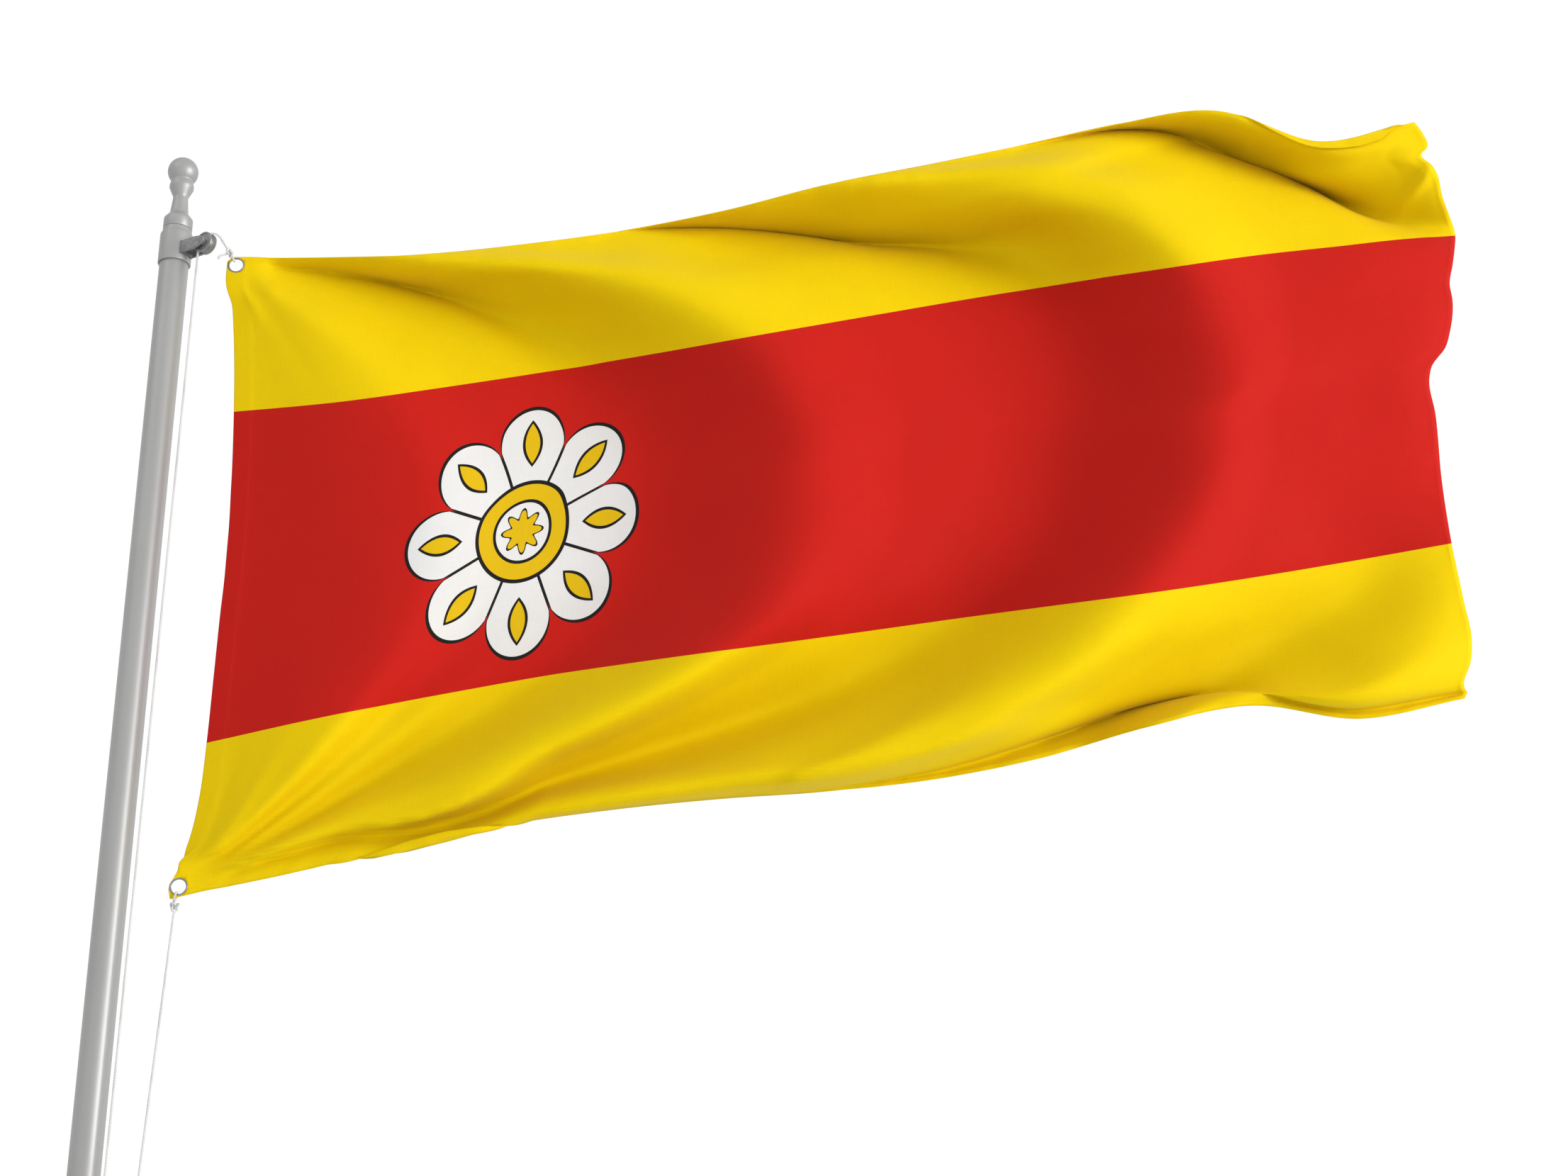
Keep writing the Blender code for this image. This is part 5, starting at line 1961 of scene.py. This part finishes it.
@dataclass
class SheaveBlock:
    """The forked bracket, its pin and the grooved wheel."""
    shelf: FinishShelf
    width: float = 0.0295
    cheek: float = 0.0035
    half_height: float = 0.012
    reach: float = 0.0850
    tip_start: float = 0.053
    tip_steps: int = 28
    cheek_foot: float = 0.024
    web_span: tuple[float, float] = (0.0245, 0.0335)
    web_inset: float = 0.0002
    web_end: float = 0.001
    edge: float = 0.0005
    seat_radius: float = 0.02955
    seat_length: float = 0.2
    bore: float = 0.0043
    bore_length: float = 0.06

    def side_view(self) -> list[tuple[float, float]]:
        """Outline of a cheek, seen from its side.

        Returns:
            Points, outward and up from the pole's axis at the sheave's height.
        """
        turns = [-pi / 2 + pi * k / self.tip_steps for k in range(self.tip_steps + 1)]
        tip_length = self.reach - self.tip_start
        return [(self.cheek_foot, self.half_height), (self.cheek_foot, -self.half_height),
                *((self.tip_start + tip_length * cos(turn), self.half_height * sin(turn)) for turn in turns)]

    def slab(self, outline: Sequence[tuple[float, float]], low: float, high: float,
             name: str) -> bpy.types.Object:
        """A plate with the given outline, standing across the bracket.

        Args:
            outline: Its outline, outward and up.
            low: Where it starts, across.
            high: Where it ends, across.
            name: Its name.

        Returns:
            The plate.
        """
        shape = bmesh.new()
        centre = UP * SHEAVE_CENTRE.z
        corners = [shape.verts.new(centre + OUTWARD * x + UP * z + ACROSS * low) for x, z in outline]
        face = shape.faces.new(corners)
        grown = bmesh.ops.extrude_face_region(shape, geom=[face])
        moved = [item for item in grown["geom"] if isinstance(item, bmesh.types.BMVert)]
        bmesh.ops.translate(shape, verts=moved, vec=ACROSS * (high - low))
        bmesh.ops.recalc_face_normals(shape, faces=shape.faces)
        mesh = bpy.data.meshes.new(name)
        shape.to_mesh(mesh)
        shape.free()
        return add_mesh(name, mesh, self.shelf.take(ZINC))

    def bracket(self) -> bpy.types.Object:
        """The bracket: two cheeks and a web, one bent plate with softened edges.

        Returns:
            The bracket.
        """
        half = self.width / 2
        side = self.half_height - self.web_inset
        near, far = self.web_span
        web = self.slab([(near, side), (near, -side), (far, -side), (far, side)],
                        self.web_end - half, half - self.web_end, "bracket")
        zinc = self.shelf.take(ZINC)
        seat = Matrix.Translation(UP * SHEAVE_CENTRE.z)
        turn = ACROSS.to_track_quat("Z", "Y").to_matrix().to_4x4()
        hole = Matrix.Translation(SHEAVE_CENTRE) @ turn
        joined = [
            (self.slab(self.side_view(), -half, self.cheek - half, "near cheek"), "UNION"),
            (self.slab(self.side_view(), half - self.cheek, half, "far cheek"), "UNION"),
            (cutter("truck seat", self.seat_radius, self.seat_length, seat, 72, zinc), "DIFFERENCE"),
            (cutter("pin hole", self.bore, self.bore_length, hole, 72, zinc), "DIFFERENCE"),
        ]
        for other, operation in joined:
            step = web.modifiers.new(other.name, "BOOLEAN")
            step.object = other
            step.operation = operation
            step.solver = "EXACT"
        soften(web, self.edge, 40.0)
        settle(web)
        for other, _ in joined:
            bpy.data.objects.remove(other, do_unlink=True)
        web.data.shade_smooth()
        web.data.set_sharp_from_angle(angle=radians(30))
        return web

    def wheel_profile(self) -> list[tuple[float, float]]:
        """Section of the wheel, closed: hub, dished sides, rounded rims and groove.

        Returns:
            Radius and height of its points.
        """
        hub_radius, hub, rim = 0.0065, 0.01095, 0.0075
        radius, bottom, half_groove = 0.0197, 0.015, 0.0048
        side = [
            (self.bore, hub), (hub_radius - 0.0003, hub), (hub_radius, hub - 0.0003),
            (hub_radius, rim - 0.0004), (hub_radius + 0.0014, rim - 0.0009), (radius - 0.0042, rim - 0.0009),
            (radius - 0.0036, rim), (radius - 0.0010, rim), (radius - 0.0003, rim - 0.0003),
            (radius, rim - 0.0010),
        ]
        steps = 20
        groove = []
        for k in range(steps + 1):
            along = half_groove * (1.0 - 2.0 * k / steps)
            groove.append((radius - (radius - bottom) * cos(pi / 2 * along / half_groove), along))
        return side + groove + [(r, -h) for r, h in reversed(side)]

    def build(self) -> None:
        """Builds the block and hands it over."""
        Piece(self.bracket(), ZINC, ("sheave_bracket",)).hand_over()
        place = on_axis(SHEAVE_CENTRE, OUTWARD, UP, -ACROSS)
        half = self.width / 2
        head = [(0.0, half + 0.0006), (0.0020, half + 0.0005), (0.0034, half + 0.0001),
                (0.0040, half - 0.0006)]
        pin = head + [(radius, -height) for radius, height in reversed(head)]
        zinc = self.shelf.take(ZINC)
        Piece(Turning("pin", pin, place, 48, 0.0).build(zinc), ZINC, ("sheave_pin",)).hand_over()
        wheel = Turning("wheel", self.wheel_profile(), place, 96, 0.0)
        Piece(wheel.build(zinc), ZINC, ("sheave",), Body.SHEAVE).hand_over()


# The halyard

@dataclass(frozen=True)
class RopeRun:
    """One run of plaited rope along a route.

    The long runs are drawn taut from the anchor, and carry the named pieces at their far end.
    """
    name: str
    route: Sequence[Vector]
    replaces: tuple[str, ...]
    carries: tuple[str, ...] = ()

    def length(self) -> float:
        """Length along the route.

        Returns:
            The length in metres.
        """
        return sum((b - a).length for a, b in zip(self.route, self.route[1:]))


def smooth_route(points: Sequence[Vector], count: int, closed: bool = False) -> list[Vector]:
    """Points at even steps along a smooth curve through the given points.

    Args:
        points: The given points.
        count: How many points to return.
        closed: Whether the curve closes on itself.

    Returns:
        The points; a closed one ends where it starts.
    """
    given = np.array([tuple(point) for point in points])
    if closed:
        given = np.vstack([given[-2:], given, given[:3]])
    steps = np.linalg.norm(np.diff(given, axis=0), axis=1)
    key = np.concatenate([[0.0], np.cumsum(steps)])
    slopes = np.gradient(given, key, axis=0)
    low, high = (key[2], key[-3]) if closed else (key[0], key[-1])
    at = np.linspace(low, high, 20 * count)
    cell = np.clip(np.searchsorted(key, at, side="right") - 1, 0, len(key) - 2)
    span = (key[cell + 1] - key[cell])[:, None]
    t = (at - key[cell])[:, None] / span
    fine = hermite(t, span, given[cell], given[cell + 1], slopes[cell], slopes[cell + 1])
    run = np.concatenate([[0.0], np.cumsum(np.linalg.norm(np.diff(fine, axis=0), axis=1))])
    wanted = np.linspace(0.0, run[-1], count)
    return [Vector([np.interp(w, run, fine[:, k]) for k in range(3)]) for w in wanted]


@dataclass
class Halyard:
    """The plaited rope: its long runs, knots, loops, stoppers and short loose tail."""
    shelf: FinishShelf
    knot_scale: float = 0.0026
    knot_rise: float = 0.0037
    knot_steps: int = 96
    groove_radius: float = 0.015
    wrap_angle: float = 108.0
    wrap_step: float = 6.0
    anchor_height: float = 0.580
    anchor_reach: float = 0.0470
    lower_hole: tuple[float, float] = (0.0855, -0.0040)
    leaving: tuple[tuple[float, float, float], ...] = (
        (0.0092, 0.0012, 0.0166), (0.0130, 0.0040, 0.0184),
        (0.0162, 0.0085, 0.0178), (0.0184, 0.0150, 0.0148),
    )
    tail_bend: tuple[float, float, float] = (-0.0156, -0.0056, -0.0095)
    tail_end: tuple[float, float, float] = (-0.0182, -0.0064, -0.0150)
    stopper_drop: float = 0.0026
    tuck: float = 0.0022
    bight_forward: float = 0.003
    upper_knot: Vector = field(default_factory=lambda: Vector((0.1041, -0.0175, 2.2770)))
    lower_knot: Vector = field(default_factory=lambda: Vector((0.1062, -0.0010, 1.0800)))
    upper_loop_way: Vector = field(default_factory=lambda: Vector((-0.456, 0.0, 0.890)))
    lower_loop_way: Vector = field(default_factory=lambda: Vector((-0.21, 0.0, -0.98)))
    upper_loop_reach: float = 0.0245
    lower_loop_reach: float = 0.0249

    def __post_init__(self) -> None:
        """Places the anchor's two holes and the point where the rope leaves the sheave."""
        self.main_anchor = OUTWARD * self.anchor_reach + UP * self.anchor_height
        self.lower_anchor = Vector((*self.lower_hole, self.anchor_height))
        self.leaves = self.by_sheave(*self.leaving[-1])

    def by_sheave(self, out: float, across: float, up: float) -> Vector:
        """A point given from the sheave's centre.

        Args:
            out: Distance outward from the pole.
            across: Distance along the sheave's axis.
            up: Distance up.

        Returns:
            The point.
        """
        return SHEAVE_CENTRE + OUTWARD * out + ACROSS * across + UP * up

    def knot(self, centre: Vector, toward: Vector, beside: Vector) -> list[Vector]:
        """An overhand knot of three bights, drawn tight.

        Args:
            centre: Its centre.
            toward: Where its first bight points.
            beside: A second direction in its plane.

        Returns:
            Its route, from the first bight round to itself.
        """
        first = toward.normalized()
        second = (beside - first * beside.dot(first)).normalized()
        normal = first.cross(second)
        points = []
        for k in range(self.knot_steps + 1):
            t = pi + tau * k / self.knot_steps
            along = first * (2.0 * cos(2.0 * t) - cos(t)) * self.knot_scale
            sideways = second * (sin(t) + 2.0 * sin(2.0 * t)) * self.knot_scale
            points.append(centre + along + sideways + normal * self.knot_rise * sin(3.0 * t))
        return points

    def meeting(self, start: Vector, centre: Vector, knot: Sequence[Vector]) -> Vector:
        """Where a rope laid toward a knot tucks into it.

        Args:
            start: Where the rope comes from.
            centre: The knot's centre.
            knot: The knot's route.

        Returns:
            The rope's end.
        """
        way = (centre - start).normalized()
        reach, steps = 0.014, 140
        for k in range(steps):
            end = centre - way * reach * (1.0 - k / steps)
            if min((end - point).length for point in knot) < 2.0 * ROPE_RADIUS - self.tuck:
                return end
        return centre

    def loop(self, centre: Vector, toward: Vector, far: float) -> list[Vector]:
        """A loop through an eyelet and round the cloth's edge.

        Args:
            centre: Centre of the eyelet.
            toward: Where the loop points.
            far: Its reach.

        Returns:
            Its route, from its far end round to itself.
        """
        front = ((far - 0.0030, -0.0046), (0.0160, -0.0052), (0.0115, -0.0040))
        back = tuple((out, -depth) for out, depth in reversed(front))
        section = ((far, 0.0), *front, (0.0095, 0.0), *back)
        route = [centre + toward * out + Vector((0.0, depth, 0.0)) for out, depth in section]
        return smooth_route(route, 72, True)

    def runs(self) -> list[RopeRun]:
        """Every run of the rope.

        Returns:
            The runs.
        """
        bight = UPPER_EYELET + self.upper_loop_way * self.upper_loop_reach
        bight.y -= self.bight_forward
        knot = self.knot(self.upper_knot, bight - self.upper_knot, self.leaves - self.upper_knot)
        radius = self.groove_radius + ROPE_RADIUS + GAP
        tangent = self.by_sheave(-radius, 0.0, 0.0)
        start = self.main_anchor - UP * self.stopper_drop
        steps = int(self.wrap_angle / self.wrap_step)
        over = [self.by_sheave(radius * cos(a), 0.0, radius * sin(a))
                for a in (radians(180.0 - self.wrap_step * k) for k in range(steps + 1))]
        leaving = [self.by_sheave(*point) for point in self.leaving]
        end = self.meeting(self.leaves, self.upper_knot, knot)
        straight = [start.lerp(tangent, k / 40) for k in range(40)]
        main = smooth_route(straight + over + leaving + [self.leaves.lerp(end, 0.5), end], 700)
        bend = self.upper_knot + Vector(self.tail_bend)
        tail_start = self.meeting(bend, self.upper_knot, knot)
        tail_end = self.upper_knot + Vector(self.tail_end)
        tail = smooth_route([tail_start, tail_start.lerp(bend, 0.5), bend, tail_end], 24)
        downward = (self.lower_anchor - self.lower_knot).normalized()
        lower = self.knot(self.lower_knot, downward, Vector((1.0, 0.0, 0.0)))
        low_start = self.meeting(self.lower_anchor, self.lower_knot, lower)
        low_end = self.lower_anchor + downward * self.stopper_drop
        stopper_drop = self.stopper_drop + 3.0 * self.knot_scale + ROPE_RADIUS + GAP
        return [
            RopeRun("rope_main", main, ("halyard_main",),
                    ("rope_knot_upper", "rope_loop_upper", "rope_tail", "rope_stopper_main")),
            RopeRun("rope_knot_upper", knot, ("knot_upper",)),
            RopeRun("rope_loop_upper", self.loop(UPPER_EYELET, self.upper_loop_way, self.upper_loop_reach),
                    ("loop_upper",)),
            RopeRun("rope_tail", tail, ("tail_upper",)),
            RopeRun("rope_knot_lower", lower, ("knot_lower",)),
            RopeRun("rope_loop_lower", self.loop(LOWER_EYELET, self.lower_loop_way, self.lower_loop_reach),
                    ("loop_lower",)),
            RopeRun("rope_lower", [low_end.lerp(low_start, k / 120) for k in range(121)], ("halyard_lower",),
                    ("rope_knot_lower", "rope_loop_lower", "rope_stopper_lower")),
            RopeRun("rope_stopper_main", self.knot(self.main_anchor - UP * stopper_drop, UP, ACROSS),
                    ("stopper_main",)),
            RopeRun("rope_stopper_lower", self.knot(self.lower_anchor - UP * stopper_drop, UP, ACROSS),
                    ("stopper_lower",)),
        ]

    def build(self) -> None:
        """Builds the rope and hands it over."""
        plait = braid_growth()
        runs = self.runs()
        for run in runs:
            grown = plait.grow(run.name, polyline(run.name, run.route), self.shelf.take(ROPE_YARN))
            Piece(grown, ROPE_YARN, run.replaces).hand_over()
        for run in runs:
            if run.carries:
                round(run.length(), 4)


@dataclass
class Anchor:
    """The collar and lug that hold both ropes low on the pole, kept as the frame has them."""
    shelf: FinishShelf

    def build(self) -> None:
        """Dresses the frame's own solid."""
        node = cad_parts["anchor"]
        node.data.materials.clear()
        node.data.materials.append(self.shelf.take(POLE_PAINT))
        LOG.info("anchor: kept from the frame, painted as the pole")


@dataclass
class Studio:
    """Floor, light and camera."""
    shelf: FinishShelf
    middle: Vector = field(default_factory=lambda: Vector((1.15, 0.0, 1.8)))
    lamp_distance: float = 14.0
    floor_reach: float = 60.0
    front_light: float = 0.86
    back_light: float = 1.02
    horizon: tuple[float, float] = (0.1, 0.6)

    def floor(self) -> None:
        """The plain floor."""
        mesh = bpy.data.meshes.new("floor")
        shape = bmesh.new()
        bmesh.ops.create_grid(shape, x_segments=1, y_segments=1, size=self.floor_reach)
        shape.to_mesh(mesh)
        shape.free()
        add_mesh("floor", mesh, self.shelf.take(FLOOR))

    def lamp(self, name: str, azimuth: float, elevation: float, energy: float, size: float) -> None:
        """A soft area light aimed at the flag.

        Args:
            name: Its name.
            azimuth: Degrees to the right of the view.
            elevation: Degrees above the horizon.
            energy: Its power.
            size: Its width.
        """
        light = bpy.data.lights.new(name, "AREA")
        light.shape = "DISK"
        light.energy = energy
        light.size = size
        light.color = (1.0, 1.0, 1.0)
        item = bpy.data.objects.new(name, light)
        bpy.context.scene.collection.objects.link(item)
        turn, tilt = radians(azimuth), radians(elevation)
        way = Vector((sin(turn) * cos(tilt), -cos(turn) * cos(tilt), sin(tilt)))
        item.location = self.middle + way * self.lamp_distance
        item.rotation_euler = way.to_track_quat("Z", "Y").to_euler()

    def camera(self) -> None:
        """The camera, at the photograph's place and angle."""
        data = bpy.data.cameras.new("camera")
        data.sensor_fit = "HORIZONTAL"
        data.lens = data.sensor_width * LENS_TO_WIDTH
        item = bpy.data.objects.new("camera", data)
        item.location = EYE
        item.rotation_euler = (pi / 2 + EYE_TILT, 0.0, 0.0)
        bpy.context.scene.collection.objects.link(item)
        bpy.context.scene.camera = item

    def sky(self) -> None:
        """The even light all round, white behind the flag."""
        world = bpy.data.worlds.new("studio")
        world.use_nodes = True
        graph = Graph(world.node_tree)
        parts = graph.node("ShaderNodeSeparateXYZ")
        graph.feed(parts.inputs[0], graph.call("ShaderNodeTexCoord", "Generated"))
        toward_back = Wire(graph, parts.outputs[1])
        background = world.node_tree.nodes["Background"]
        background.inputs["Color"].default_value = (1.0, 1.0, 1.0, 1.0)
        strength = toward_back.ramp(*self.horizon) * (self.back_light - self.front_light) + self.front_light
        graph.feed(background.inputs["Strength"], strength)
        bpy.context.scene.world = world

    def build(self) -> None:
        """Builds the studio."""
        self.floor()
        self.lamp("key", 62.0, 2.0, 1700.0, 7.0)
        self.lamp("fill", -50.0, 40.0, 140.0, 6.0)
        self.sky()
        self.camera()
        bpy.context.scene.view_settings.view_transform = "Standard"


def main() -> None:
    """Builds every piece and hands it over."""
    logging.basicConfig(level=logging.INFO, format="%(name)s: %(message)s")
    shelf = FinishShelf()
    shape = ClothShape()
    FlagCloth(shape, shelf).build()
    Eyelets(shelf).build()
    PoleHead(shelf).build()
    SheaveBlock(shelf).build()
    Halyard(shelf).build()
    Anchor(shelf).build()
    Studio(shelf).build()
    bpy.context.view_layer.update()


if __name__ == "__main__":
    main()
